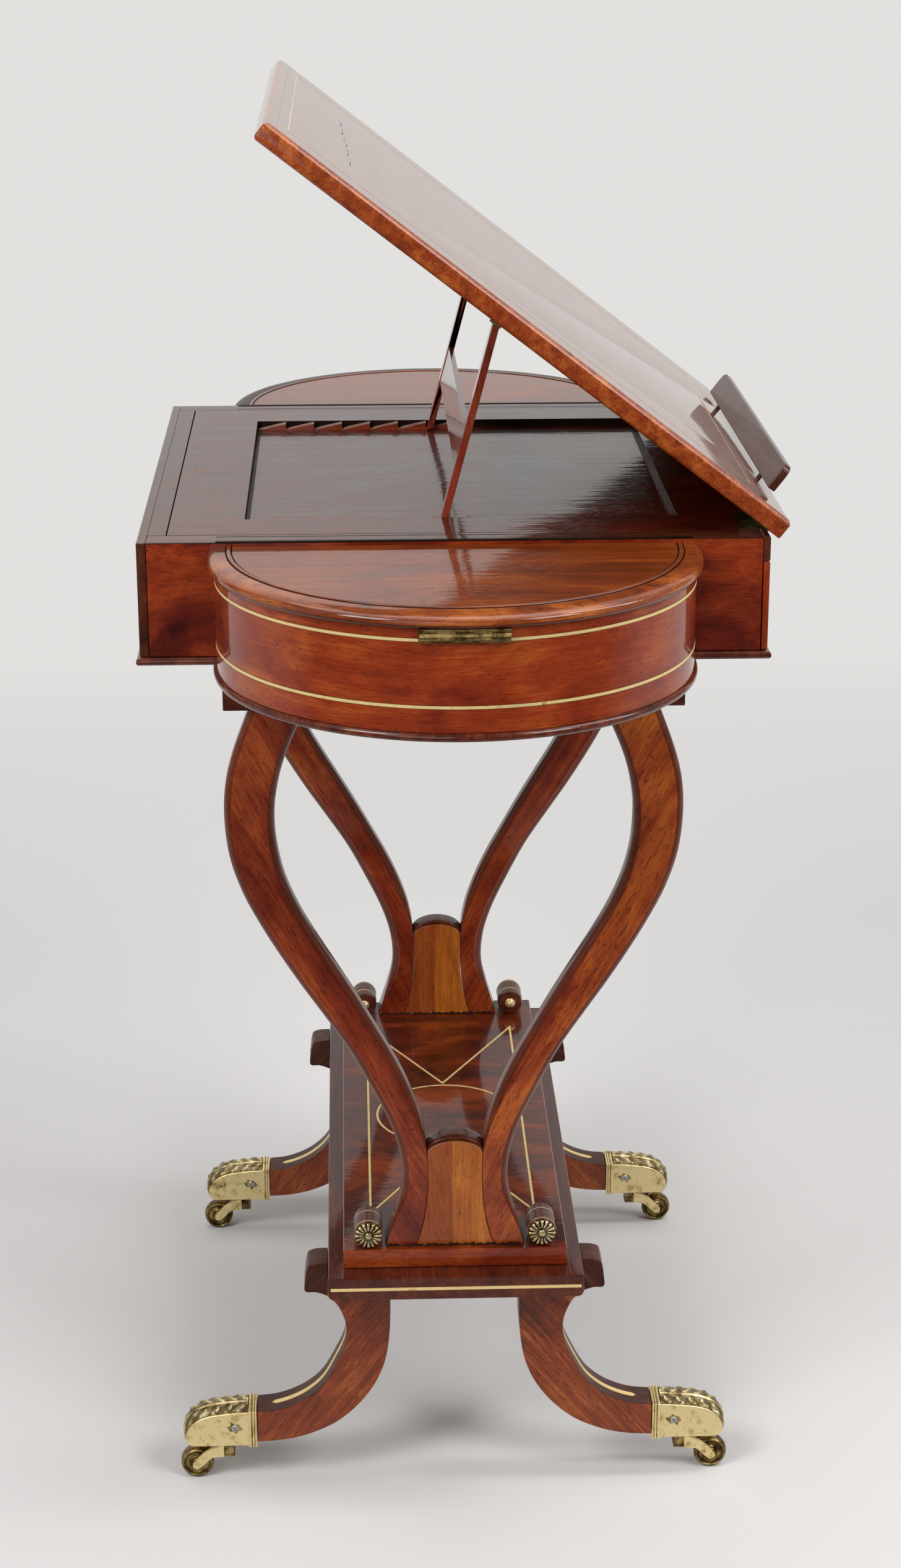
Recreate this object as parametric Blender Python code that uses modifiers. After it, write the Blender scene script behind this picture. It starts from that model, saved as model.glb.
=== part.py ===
"""Mahogany reading and games table: a sliding top with a propped slope, round-ended boxes and a
lyre stand on sabre legs with castors.

Metres, +Z up, floor at z = 0. +Y runs along the table, +X across it towards the slope's hinges.
Inside the root empty x = 0 is the stand's own middle; the root shifts the table so that the
raised table stands over the world origin.
"""
import math

import bmesh
import bpy
from mathutils import Matrix, Vector

# Clearances and eased edges
GAP = 0.0003
OVERRUN = 0.004
EASED = 0.0006
TOUCH = 0.000001
MERGE = 0.00001
FLAT_ANGLE = math.radians(0.2)
SMOOTH_ANGLE = math.radians(35)

# Numbers of steps round the curves
CURVE_STEPS = 2
END_STEPS = 18
TURN_STEPS = 16
SMALL_STEPS = 8
CORNER_STEPS = 3

# Castors: wheel, horn and toe socket
WHEEL_RADIUS = 0.0125
WHEEL_WIDTH = 0.011
WHEEL_HUB_RADIUS = 0.0036
AXLE_RADIUS = 0.0016
AXLE_HEAD = 0.0006
FORK_GAP = 0.0007
ARM_THICK = 0.0026
EYE_RADIUS = 0.0046
HORN_TRAIL = 0.023
STEM_BLOCK_LENGTH = 0.010
STEM_BLOCK_WIDTH = 0.0160
STEM_BLOCK_HEIGHT = 0.0116
SWIVEL_PIN_RADIUS = 0.0025
SOCKET_BASE_Z = 0.0315
SOCKET_HEIGHT = 0.0283
SOCKET_WIDTH = 0.0262
SOCKET_WALL = 0.0019
SOCKET_FLOOR = 0.0045
SOCKET_ROOF = 0.0056
TOE_LENGTH = 0.0473
COLLAR_X = 0.149
COLLAR_RING = 0.003
COLLAR_GROOVE = 0.0006
COLLAR_STEP = 0.0009
COLLAR_CROWN = 0.0011
SWIVEL_X = 0.172
SCREW_RADIUS = 0.0027
SCREW_HEAD = 0.0012
SCREW_FROM_COLLAR = 0.0099
SCREW_HEIGHT_SHARE = 0.54
TOE_SHARES = [(0, 1), (0.2, 0.985), (0.4, 0.95), (0.58, 0.91), (0.72, 0.84), (0.84, 0.73),
              (0.93, 0.585), (0.98, 0.41), (1, 0.25), (0.975, 0.11), (0.91, 0.02), (0.87, 0)]
ARM_TOP_SHARES = [(-0.9, 0.93), (-0.72, 0.87), (-0.55, 0.76), (-0.23, 0.63), (-0.04, 0.44)]
ARM_BASE_SHARES = [(-0.3, 0.03), (-0.4, 0.15), (-0.55, 0.26), (-0.78, 0.28), (-0.9, 0.3)]
EYE_START = math.radians(60)
EYE_END = math.radians(-140)

# Sabre legs
LEG_FROM_END = 0.044
LEG_THICK = 0.026
LEG_ROOT_X = 0.0478
EAR_WIDTH = 0.0172
EAR_ABOVE = 0.014
EAR_BELOW = 0.009
TONGUE_LENGTH = 0.036
LEG_UPPER_SHARES = [(0.463, 0.905), (0.3935, 0.853), (0.341, 0.768), (0.326, 0.69), (0.345, 0.6),
                    (0.4054, 0.5), (0.5, 0.375), (0.61, 0.297), (0.73, 0.247), (0.86, 0.216), (1, 0.205)]
LEG_LOWER_SHARES = [(1, 0.022), (0.84, 0.0285), (0.69, 0.048), (0.55, 0.083), (0.412, 0.134), (0.28, 0.214),
                    (0.17, 0.308), (0.09, 0.41), (0.035, 0.53), (0.008, 0.67), (0, 0.8)]
EAR_SHARES = [(0.5, 0.985), (0.82, 0.9), (0.93, 0.68), (0.98, 0.4), (1, 0), (0.567, -0.036),
              (0.267, -0.1)]

# Plinths
PLINTH_BASE_Z = 0.170
LOWER_PLINTH_HALF_X = 0.0935
LOWER_PLINTH_HALF_Y = 0.246
LOWER_PLINTH_THICK = 0.0175
LOWER_PLINTH_ROUND = 0.0045
UPPER_PLINTH_HALF_X = 0.082
UPPER_PLINTH_HALF_Y = 0.230
UPPER_PLINTH_THICK = 0.0146
STRING_WIDTH = 0.0018
STRING_THICK = 0.0009
STRING_SIDE_X = 0.0615
STRING_FROM_LYRE = 0.0415
STRING_APEX_Y = 0.0585
STRING_RING_RADIUS = 0.0545

# Lyres
LYRE_FROM_END = 0.0175
LYRE_THICK = 0.021
LYRE_HEIGHT = 0.4129
LYRE_HALF_SPREAD = 0.1605
LYRE_ROUND = 0.0075
ARM_OUTER_SHARES = [(0.318, 0), (0.272, 0.06), (0.24, 0.12), (0.252, 0.18), (0.3, 0.24),
                    (0.378, 0.305), (0.474, 0.377), (0.588, 0.445), (0.683, 0.5), (0.776, 0.558),
                    (0.858, 0.614), (0.928, 0.67), (0.98, 0.733), (1, 0.8), (0.993, 0.862),
                    (0.958, 0.92), (0.883, 1)]
ARM_INNER_SHARES = [(0.178, 0), (0.146, 0.043), (0.1265, 0.104), (0.1265, 0.179), (0.15, 0.24),
                    (0.196, 0.295), (0.262, 0.352), (0.34, 0.408), (0.424, 0.467), (0.51, 0.524),
                    (0.596, 0.58), (0.676, 0.636), (0.738, 0.694), (0.773, 0.752), (0.782, 0.81),
                    (0.767, 0.862), (0.733, 0.912), (0.675, 0.967), (0.629, 1)]
STEM_TOP_SHARE = 0.179
STEM_ARCH_RISE = 0.009
CAP_THICK = 0.005
CAP_END = 0.002
CAP_SET_BACK = 0.0015

# Bolsters beside the lyre feet
BOLSTER_X = 0.0635
BOLSTER_RADIUS = 0.0105
BOLSTER_LENGTH = 0.029
BOLSTER_ROUND = 0.001
ROSETTE_RADIUS = 0.0099
ROSETTE_THICK = 0.0016
ROSETTE_BOSS_RADIUS = 0.0033
ROSETTE_BOSS_RISE = 0.0012
KNOB_RADIUS = 0.0038

# Bearers under the case
BEARER_HALF_X = 0.159
BEARER_SET_IN = 0.0025
BEARER_WIDTH = 0.030
BEARER_HEIGHT = 0.0342

# Case
CASE_HALF_X = 0.214
CASE_HALF_Y = 0.229
WALL_HEIGHT = 0.0796
BEAD_THICK = 0.0056
BEAD_OUT = 0.0025
BEAD_ROUND = 0.0026
END_WALL_THICK = 0.0205
LEFT_FASCIA_THICK = 0.0065
LEFT_BORDER = 0.019
RIGHT_FASCIA_THICK = 0.0045

# Sliding top
PANEL_THICK = 0.017
PANEL_STRIP = 0.005
TONGUE_THICK = 0.005
TONGUE_REACH = 0.005
WELL_LEFT_X = -0.143
WELL_RIGHT_X = 0.157
WELL_BORDER = 0.064
WELL_DEPTH = 0.006
RATCHET_WIDTH = 0.0077
RATCHET_PITCH = 0.0223
RATCHET_NOTCHES = 7
RATCHET_DEPTH = 0.005
RATCHET_LET_IN = 0.002
RATCHET_BELOW_TOP = 0.0004

# Slope and its hinges
SLOPE_ANGLE = math.radians(37.5)
BOARD_LENGTH = 0.440
BOARD_NOSE = 0.0032
BOARD_PAST_CASE = 0.0005
BOARD_THICK = 0.014
BOARD_ROUND = 0.0022
HINGE_FROM_END = 0.049
SLOPE_LEAF_LENGTH = 0.050
SLOPE_LEAF_REACH = 0.0205
LEAF_THICK = 0.0017
LEAF_EDGE = 0.0002
KNUCKLE_RADIUS = 0.0025
HINGE_PIN_RADIUS = 0.0009
KNUCKLES = 5

# Prop
PROP_FROM_WELL_END = 0.007
PROP_WIDTH = 0.012
PROP_THICK = 0.005
PROP_PIVOT_REACH = 0.230
PROP_PIVOT_DROP = 0.0045
PROP_PIN_RADIUS = 0.0012
CROSS_ABOVE_FOOT = 0.0386
CROSS_TALL = 0.028
CROSS_THICK = 0.004
CROSS_TENON = 0.006
BRACKET_THICK = 0.0032
BRACKET_LENGTH = 0.009
BRACKET_BELOW_PIN = 0.0022

# Book ledge
LEDGE_INSET = 0.0105
LEDGE_FROM_END = 0.061
LEDGE_RAISED = 0.003
LEDGE_HEIGHT = 0.020
LEDGE_THICK = 0.006
LEDGE_CORNER = 0.007
LEDGE_PIN_FROM_END = 0.048
LEDGE_PIN_RADIUS = 0.0019
LEDGE_PIN_IN_BOARD = 0.008
LEDGE_PIN_IN_LEDGE = 0.010
LEDGE_DROP = 0.0025

# Round-ended boxes and their lids
END_STILT = 0.015
END_RADIUS = 0.161
APRON_THICK = 0.014
APRON_HEIGHT = 0.0676
LID_THICK = 0.0084
LID_ABOVE_WALL = 0.0006
LID_OVERHANG = 0.0045
LID_ROUND = 0.0034
LID_BEAD_HALF_X = 0.153
LID_BEAD_DEPTH = 0.161
LID_BEAD_WIDTH = 0.003
LID_BEAD_TALL = 0.0022
LID_BEAD_RISE = 0.0007
LID_BEAD_ROUND = 0.0007
LID_GROOVE_WIDTH = 0.0008
LID_GROOVE_DEPTH = 0.0008
LID_HINGE_LENGTH = 0.057
LID_AXIS_BELOW_WALL = 0.0044
LID_LEAF_ABOVE_AXIS = 0.0028
LID_LEAF_REACH = 0.0165
BOX_LEAF_REACH = 0.0076
BOX_LEAF_THICK = 0.0030

# Levels and places worked out from the sizes above
LOWER_PLINTH_TOP_Z = PLINTH_BASE_Z + LOWER_PLINTH_THICK
LYRE_BASE_Z = LOWER_PLINTH_TOP_Z + UPPER_PLINTH_THICK
BEARER_BASE_Z = LYRE_BASE_Z + LYRE_HEIGHT
BEAD_BASE_Z = BEARER_BASE_Z + BEARER_HEIGHT + GAP
WALL_BASE_Z = BEAD_BASE_Z + BEAD_THICK + GAP
CASE_TOP_Z = WALL_BASE_Z + WALL_HEIGHT
PANEL_BASE_Z = CASE_TOP_Z - PANEL_THICK
WELL_FLOOR_Z = CASE_TOP_Z - WELL_DEPTH
APRON_TOP_Z = WALL_BASE_Z + APRON_HEIGHT
LID_BASE_Z = APRON_TOP_Z + LID_ABOVE_WALL
END_CENTRE_Y = CASE_HALF_Y + END_STILT
LID_RADIUS = END_RADIUS + LID_OVERHANG
LID_AXIS_Y = END_CENTRE_Y + END_RADIUS + KNUCKLE_RADIUS + GAP
LID_AXIS_Z = APRON_TOP_Z - LID_AXIS_BELOW_WALL
HINGE_X = CASE_HALF_X + KNUCKLE_RADIUS + GAP
HINGE_Z = CASE_TOP_Z
PANEL_LEFT_X = LEFT_BORDER - CASE_HALF_X
STRIP_X = CASE_HALF_X - PANEL_STRIP
WALL_INNER_Y = CASE_HALF_Y - END_WALL_THICK
WELL_HALF_Y = CASE_HALF_Y - WELL_BORDER
BOARD_HALF_Y = CASE_HALF_Y + BOARD_PAST_CASE
SLOPE_HINGE_Y = CASE_HALF_Y - HINGE_FROM_END
PROP_Y = WELL_HALF_Y - PROP_FROM_WELL_END
LEDGE_HALF_Y = CASE_HALF_Y - LEDGE_FROM_END
LEDGE_PIN_Y = LEDGE_HALF_Y - LEDGE_PIN_FROM_END
LYRE_Y = UPPER_PLINTH_HALF_Y - LYRE_FROM_END
BEARER_Y = LYRE_Y - BEARER_SET_IN
STRING_CORNER_Y = LYRE_Y - STRING_FROM_LYRE
LEG_Y = LOWER_PLINTH_HALF_Y - LEG_FROM_END
FORK_HALF = WHEEL_WIDTH / 2 + FORK_GAP
SOCKET_TOP_Z = SOCKET_BASE_Z + SOCKET_HEIGHT
COLLAR_LENGTH = 2 * COLLAR_RING + COLLAR_GROOVE
TOE_X = COLLAR_X + COLLAR_LENGTH
LEG_TOE_Z = SOCKET_BASE_Z + SOCKET_FLOOR + GAP
STEM_TOP_Z = LYRE_BASE_Z + STEM_TOP_SHARE * LYRE_HEIGHT
RATCHET_X = WELL_LEFT_X + 2 * GAP
RATCHET_TOP_Z = CASE_TOP_Z - RATCHET_BELOW_TOP
NOTCH_Z = RATCHET_TOP_Z - RATCHET_DEPTH
LAST_NOTCH_X = RATCHET_X + (RATCHET_NOTCHES - 1) * RATCHET_PITCH
RAMP = RATCHET_DEPTH / RATCHET_PITCH

# Axis maps for plates drawn in a plane: across the table, and along it
UPRIGHT = Matrix.Rotation(math.pi / 2, 4, "X")
LENGTHWISE = Matrix(((0, 0, 1, 0), (1, 0, 0, 0), (0, 1, 0, 0), (0, 0, 0, 1)))
HANGING = Matrix(((0, 0, 1, 0), (0, -1, 0, 0), (1, 0, 0, 0), (0, 0, 0, 1)))

ENDS = {"near": -1, "far": 1}
SIDES = {"left": -1, "right": 1}


def on_slope(along, above):
    """World X and Z of a point of the slope's own frame at rest."""
    x = HINGE_X + along * math.cos(SLOPE_ANGLE) + above * math.sin(SLOPE_ANGLE)
    z = HINGE_Z - along * math.sin(SLOPE_ANGLE) + above * math.cos(SLOPE_ANGLE)
    return x, z


# Prop: the pivot hangs under the board, and the left face of each leg touches the notch wall
PIVOT_ALONG = -PROP_PIVOT_REACH
PIVOT_ABOVE = GAP - PROP_PIVOT_DROP
PIVOT_X, PIVOT_Z = on_slope(PIVOT_ALONG, PIVOT_ABOVE)
NOTCH_RUN_X = PIVOT_X - LAST_NOTCH_X - GAP
NOTCH_RUN_Z = PIVOT_Z - NOTCH_Z - GAP
LEG_TURN = math.asin(PROP_THICK / 2 / math.hypot(NOTCH_RUN_X, NOTCH_RUN_Z))
PROP_LEAN = math.atan2(NOTCH_RUN_X, NOTCH_RUN_Z) - LEG_TURN

# The root's shift puts the middle of the raised table's outline over the origin
LEDGE_ALONG = BOARD_NOSE - LEDGE_INSET
BOARD_FACE = GAP + BOARD_THICK
LEDGE_TIP_X = on_slope(LEDGE_ALONG + LEDGE_THICK / 2, BOARD_FACE + LEDGE_RAISED + LEDGE_HEIGHT)[0]
CENTRE_X = (CASE_HALF_X + BEAD_OUT - LEDGE_TIP_X) / 2


def clear_scene():
    for obj in list(bpy.data.objects):
        bpy.data.objects.remove(obj, do_unlink=True)


def collection(name):
    made = bpy.data.collections.new(name)
    bpy.context.scene.collection.children.link(made)
    return made


def finish(name, colour, roughness, metallic=0.0):
    """Principled material with a linear base colour."""
    material = bpy.data.materials.new(name)
    material.use_nodes = True
    shader = material.node_tree.nodes["Principled BSDF"]
    shader.inputs["Base Color"].default_value = (*colour, 1)
    shader.inputs["Roughness"].default_value = roughness
    shader.inputs["Metallic"].default_value = metallic
    return material


clear_scene()
PARTS = collection("reading_table")
CUTTERS = collection("cutters")

CASE_WOOD = finish("case_mahogany", (0.075, 0.022, 0.010), 0.28)
TOP_WOOD = finish("top_mahogany", (0.045, 0.017, 0.009), 0.22)
END_WOOD = finish("end_mahogany", (0.120, 0.026, 0.009), 0.25)
SLOPE_WOOD = finish("slope_mahogany", (0.190, 0.062, 0.020), 0.30)
STAND_WOOD = finish("stand_mahogany", (0.140, 0.036, 0.013), 0.28)
STEM_WOOD = finish("stem_mahogany", (0.330, 0.130, 0.040), 0.32)
DARK_WOOD = finish("ebonised_wood", (0.020, 0.012, 0.009), 0.30)
LINE_BRASS = finish("brass_stringing", (0.560, 0.420, 0.160), 0.30, 1.0)
CAST_BRASS = finish("cast_brass", (0.430, 0.330, 0.130), 0.38, 1.0)
DARK_BRASS = finish("dark_brass", (0.120, 0.100, 0.060), 0.45, 1.0)


def empty(name, parent=None, place=(0, 0, 0), turn=(0, 0, 0)):
    frame = bpy.data.objects.new(name, None)
    PARTS.objects.link(frame)
    frame.parent = parent
    frame.location = place
    frame.rotation_euler = turn
    return frame


def part(name, mesh, material, parent, place=(0, 0, 0), turn=0):
    """One named sub-part; turn is about Z."""
    if not mesh.materials:
        mesh.materials.append(material)
    obj = bpy.data.objects.new(name, mesh)
    PARTS.objects.link(obj)
    obj.parent = parent
    obj.location = place
    obj.rotation_euler.z = turn
    return obj


def eased(obj, width=EASED, segments=1):
    """Ease the sharp edges of a boxy piece."""
    bevel = obj.modifiers.new("eased", "BEVEL")
    bevel.width = width
    bevel.segments = segments
    bevel.limit_method = "ANGLE"
    return obj


def boolean(target, mesh, operation="DIFFERENCE"):
    """Cut the mesh out of the target, or join it on; the mesh is in the target's own frame."""
    tool = bpy.data.objects.new(target.name + "_tool", mesh)
    CUTTERS.objects.link(tool)
    tool.parent = target.parent
    tool.location = target.location
    tool.rotation_euler = target.rotation_euler
    tool.display_type = "WIRE"
    tool.hide_render = True
    modifier = target.modifiers.new(operation.lower(), "BOOLEAN")
    modifier.operation = operation
    modifier.solver = "EXACT"
    modifier.object = tool
    return target


def evaluated(obj):
    bpy.context.view_layer.update()
    graph = bpy.context.evaluated_depsgraph_get()
    return bpy.data.meshes.new_from_object(obj.evaluated_get(graph))


def frozen(obj):
    """The object's evaluated mesh, for copies to share; the object and its tools go."""
    mesh = evaluated(obj)
    tools = [modifier.object for modifier in obj.modifiers if modifier.type == "BOOLEAN"]
    for extra in [obj, *tools]:
        bpy.data.objects.remove(extra, do_unlink=True)
    return mesh


def pattern(mesh, material):
    """A temporary object that carries modifiers until it is frozen."""
    return part("pattern", mesh, material, None)


def to_mesh(bm, name="shape"):
    mesh = bpy.data.meshes.new(name)
    bm.to_mesh(mesh)
    bm.free()
    return mesh


def moved(mesh, matrix):
    copy = mesh.copy()
    copy.transform(matrix)
    return copy


def rounded_look(mesh):
    mesh.shade_smooth()
    mesh.set_sharp_from_angle(angle=SMOOTH_ANGLE)
    return mesh


def box(low, high):
    size = Vector(high) - Vector(low)
    middle = (Vector(high) + Vector(low)) / 2
    bm = bmesh.new()
    bmesh.ops.create_cube(bm, size=1, matrix=Matrix.Translation(middle) @ Matrix.Diagonal((*size, 1)))
    return to_mesh(bm)


def rod(radius, low, high, steps=TURN_STEPS):
    """Upright cylinder between two heights."""
    bm = bmesh.new()
    middle = Matrix.Translation((0, 0, (low + high) / 2))
    bmesh.ops.create_cone(bm, cap_ends=True, segments=steps, radius1=radius, radius2=radius,
                          depth=high - low, matrix=middle)
    return rounded_look(to_mesh(bm))


def turned(profile, steps=TURN_STEPS, ring=False):
    """Profile points (radius, height), run down the outside, turned about Z."""
    bm = bmesh.new()
    points = [bm.verts.new((radius, 0, height)) for radius, height in profile]
    pairs = list(zip(points, points[1:]))
    if ring:
        pairs.append((points[-1], points[0]))
    for pair in pairs:
        bm.edges.new(pair)
    holder = pattern(to_mesh(bm), DARK_BRASS)
    screw = holder.modifiers.new("turn", "SCREW")
    screw.steps = steps
    screw.render_steps = steps
    screw.use_merge_vertices = True
    screw.merge_threshold = MERGE
    mesh = frozen(holder)
    mesh.materials.clear()
    return rounded_look(mesh)


def plate(loops, thickness):
    """Flat piece in the XY plane, centred on z = 0: one outer loop and any holes."""
    curve = bpy.data.curves.new("outline", "CURVE")
    curve.dimensions = "2D"
    curve.fill_mode = "BOTH"
    curve.extrude = thickness / 2
    for loop in loops:
        spline = curve.splines.new("POLY")
        spline.points.add(len(loop) - 1)
        for point, (x, y) in zip(spline.points, loop):
            point.co = (x, y, 0, 1)
        spline.use_cyclic_u = True
    holder = bpy.data.objects.new("outline", curve)
    CUTTERS.objects.link(holder)
    raw = evaluated(holder)
    bpy.data.objects.remove(holder, do_unlink=True)
    bm = bmesh.new()
    bm.from_mesh(raw)
    bmesh.ops.remove_doubles(bm, verts=bm.verts, dist=TOUCH)
    bmesh.ops.dissolve_limit(bm, angle_limit=FLAT_ANGLE, verts=bm.verts, edges=bm.edges)
    bmesh.ops.recalc_face_normals(bm, faces=bm.faces)
    return to_mesh(bm)


def round_rims(mesh, points, width, segments, faces=(-1, 1)):
    """Round the plate's lower and upper rims where they follow the given points."""
    bm = bmesh.new()
    bm.from_mesh(mesh)
    places = [Vector(point) for point in points]

    def on_rim(vert):
        follows = any((place - vert.co.xy).length < TOUCH for place in places)
        return follows and math.copysign(1, vert.co.z) in faces

    kept = {vert for vert in bm.verts if on_rim(vert)}
    rims = []
    for edge in bm.edges:
        level = abs(edge.verts[0].co.z - edge.verts[1].co.z) < TOUCH
        turned_in = edge.calc_face_angle(0) > SMOOTH_ANGLE
        if level and turned_in and kept.issuperset(edge.verts):
            rims.append(edge)
    bmesh.ops.bevel(bm, geom=rims, offset=width, segments=segments, profile=0.5, affect="EDGES")
    return rounded_look(to_mesh(bm))


def smooth(points, steps=CURVE_STEPS):
    """Smooth curve through the points, with the given steps between neighbours."""
    spots = [Vector(point) for point in points]
    spots = [2 * spots[0] - spots[1], *spots, 2 * spots[-1] - spots[-2]]
    made = []
    for before, start, end, after in zip(spots, spots[1:], spots[2:], spots[3:]):
        leave = (end - before) / 2
        arrive = (after - start) / 2
        for step in range(steps):
            t = step / steps
            made.append(start * (1 - t) ** 2 * (1 + 2 * t) + end * t ** 2 * (3 - 2 * t)
                        + leave * t * (1 - t) ** 2 - arrive * t ** 2 * (1 - t))
    made.append(spots[-2])
    return [tuple(spot) for spot in made]


def scaled(shares, width, height, left=0, base=0):
    return [(left + across * width, base + up * height) for across, up in shares]


def arc(radius, start, end, steps, middle=(0, 0)):
    """Points of an arc, both ends included."""
    angles = [start + (end - start) * step / steps for step in range(steps + 1)]
    return [(middle[0] + radius * math.cos(a), middle[1] + radius * math.sin(a)) for a in angles]


def circle(radius, steps=TURN_STEPS, middle=(0, 0)):
    return arc(radius, 0, 2 * math.pi, steps, middle)[:-1]


def offset_loop(points, distance):
    """Closed outline moved sideways by a distance, with mitred corners."""
    moved_points = []
    count = len(points)
    for index in range(count):
        here = Vector(points[index])
        came = (here - Vector(points[index - 1])).normalized()
        goes = (Vector(points[(index + 1) % count]) - here).normalized()
        first = Vector((came.y, -came.x))
        second = Vector((goes.y, -goes.x))
        moved_points.append(tuple(here + (first + second) * distance / (1 + first.dot(second))))
    return moved_points


def band(points, width):
    """Outer and inner loop of a strip that follows a closed outline."""
    return [offset_loop(points, width / 2), offset_loop(points, -width / 2)]


def rect(half_x, half_y, middle_x=0):
    return [(middle_x - half_x, -half_y), (middle_x + half_x, -half_y),
            (middle_x + half_x, half_y), (middle_x - half_x, half_y)]


def end_path(radius, start_y, stilt_y=END_CENTRE_Y):
    """U-shaped path round the far end, from the right to the left."""
    return [(radius, start_y), *arc(radius, 0, math.pi, END_STEPS, (0, stilt_y)), (-radius, start_y)]


def end_strip(outer, inner, start_y, stilt_y=END_CENTRE_Y):
    """Closed loop of a U-shaped strip round the far end."""
    return end_path(outer, start_y, stilt_y) + end_path(inner, start_y, stilt_y)[::-1]


def leaf_outline(low, high, reach):
    """Hinge leaf in section: a round knuckle on the axis, and a plate that runs off to -X."""
    radius = KNUCKLE_RADIUS
    if high < radius:
        corner = []
        start = math.pi - math.asin(high / radius)
    else:
        corner = [(0, high)]
        start = math.pi / 2
    if low < radius:
        heel = []
        end = -math.pi - math.asin(low / radius)
    else:
        heel = [(-radius, low)]
        end = -math.pi
    return [*corner, *arc(radius, start, end, SMALL_STEPS), *heel, (-reach, low), (-reach, high)]


def hinge_leaf(low, high, reach, length, axis_map, pinned):
    """Leaf with every second knuckle cut away; the pinned leaf carries the pin."""
    loops = [leaf_outline(low, high, reach)]
    if not pinned:
        loops.append(circle(HINGE_PIN_RADIUS + GAP, SMALL_STEPS))
    leaf = pattern(plate(loops, length), CAST_BRASS)
    clear = KNUCKLE_RADIUS + GAP
    pitch = length / KNUCKLES
    tall = abs(low) + abs(high) + clear
    for index in range(int(pinned), KNUCKLES, 2):
        start = index * pitch - length / 2 - GAP / 2
        end = start + pitch + GAP
        if index == 0:
            start -= OVERRUN
        if index == KNUCKLES - 1:
            end += OVERRUN
        side = clear if low < KNUCKLE_RADIUS else KNUCKLE_RADIUS + OVERRUN
        roof = tall if low < KNUCKLE_RADIUS else low
        boolean(leaf, box((-side, -tall, start), (tall, roof, end)))
    if pinned:
        boolean(leaf, rod(HINGE_PIN_RADIUS, -length / 2 + GAP, length / 2 - GAP, SMALL_STEPS), "UNION")
    return moved(frozen(leaf), axis_map)


def case(root):
    """Fixed walls, fascias, and the bottom board with its beaded edge."""
    wall_left = LEFT_FASCIA_THICK - CASE_HALF_X + GAP
    wall_right = STRIP_X - GAP
    groove_low = (CASE_TOP_Z - PANEL_THICK / 2 - TONGUE_THICK / 2) - GAP
    groove_high = groove_low + TONGUE_THICK + 2 * GAP
    for end, sign in ENDS.items():
        inner = sign * WALL_INNER_Y
        outer = sign * CASE_HALF_Y
        low_y, high_y = sorted((inner, outer))
        wall = part(f"end_wall_{end}", box((wall_left, low_y, WALL_BASE_Z), (wall_right, high_y, CASE_TOP_Z)),
                    END_WOOD, root)
        groove_end = inner + sign * (TONGUE_REACH + GAP)
        groove_low_y, groove_high_y = sorted((inner - sign * OVERRUN, groove_end))
        boolean(wall, box((PANEL_LEFT_X, groove_low_y, groove_low),
                          (wall_right + OVERRUN, groove_high_y, groove_high)))

    fascia = box((-CASE_HALF_X, -CASE_HALF_Y, WALL_BASE_Z), (wall_left - GAP, CASE_HALF_Y, CASE_TOP_Z))
    eased(part("side_fascia_left", fascia, CASE_WOOD, root))
    rail_half_y = WALL_INNER_Y - GAP
    rail = box((wall_left, -rail_half_y, WALL_BASE_Z), (PANEL_LEFT_X, rail_half_y, CASE_TOP_Z))
    part("side_rail_left", rail, TOP_WOOD, root)
    front = box((CASE_HALF_X - RIGHT_FASCIA_THICK, -CASE_HALF_Y, WALL_BASE_Z),
                (CASE_HALF_X, CASE_HALF_Y, PANEL_BASE_Z - GAP))
    eased(part("side_fascia_right", front, CASE_WOOD, root))

    outline = carcass_loop(BEAD_OUT)
    board = round_rims(plate([outline], BEAD_THICK), outline, BEAD_ROUND, 2)
    part("bottom_board", board, DARK_WOOD, root, (0, 0, BEAD_BASE_Z + BEAD_THICK / 2))


def carcass_loop(out):
    """Outline of the case with its round ends, moved out by the given amount."""
    x = CASE_HALF_X + out
    y = CASE_HALF_Y + out
    half = [(x, y), *end_path(END_RADIUS + out, y), (-x, y)]
    return half + [(-across, -along) for across, along in half]


def round_end(root, end, sign):
    """Apron wall of one round-ended box, cut for its lid's hinge."""
    turn = 0 if sign > 0 else math.pi
    inner = END_RADIUS - APRON_THICK
    middle_z = WALL_BASE_Z + APRON_HEIGHT / 2
    wall = plate([end_strip(END_RADIUS, inner, CASE_HALF_Y + GAP)], APRON_HEIGHT)
    apron = part(f"apron_{end}", rounded_look(wall), END_WOOD, root, (0, 0, middle_z), turn)
    half = LID_HINGE_LENGTH / 2 + GAP
    apex = END_CENTRE_Y + END_RADIUS
    top = APRON_HEIGHT / 2
    axis = top - LID_AXIS_BELOW_WALL
    roof = axis + LID_LEAF_ABOVE_AXIS - GAP
    boolean(apron, box((-half, apex - APRON_THICK - OVERRUN, roof), (half, apex + OVERRUN, top + OVERRUN)))
    seat = LID_AXIS_Y - KNUCKLE_RADIUS - BOX_LEAF_THICK - 2 * GAP
    heel = axis - BOX_LEAF_REACH - GAP
    boolean(apron, box((-half, seat, heel), (half, apex + OVERRUN, roof + GAP)))


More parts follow.
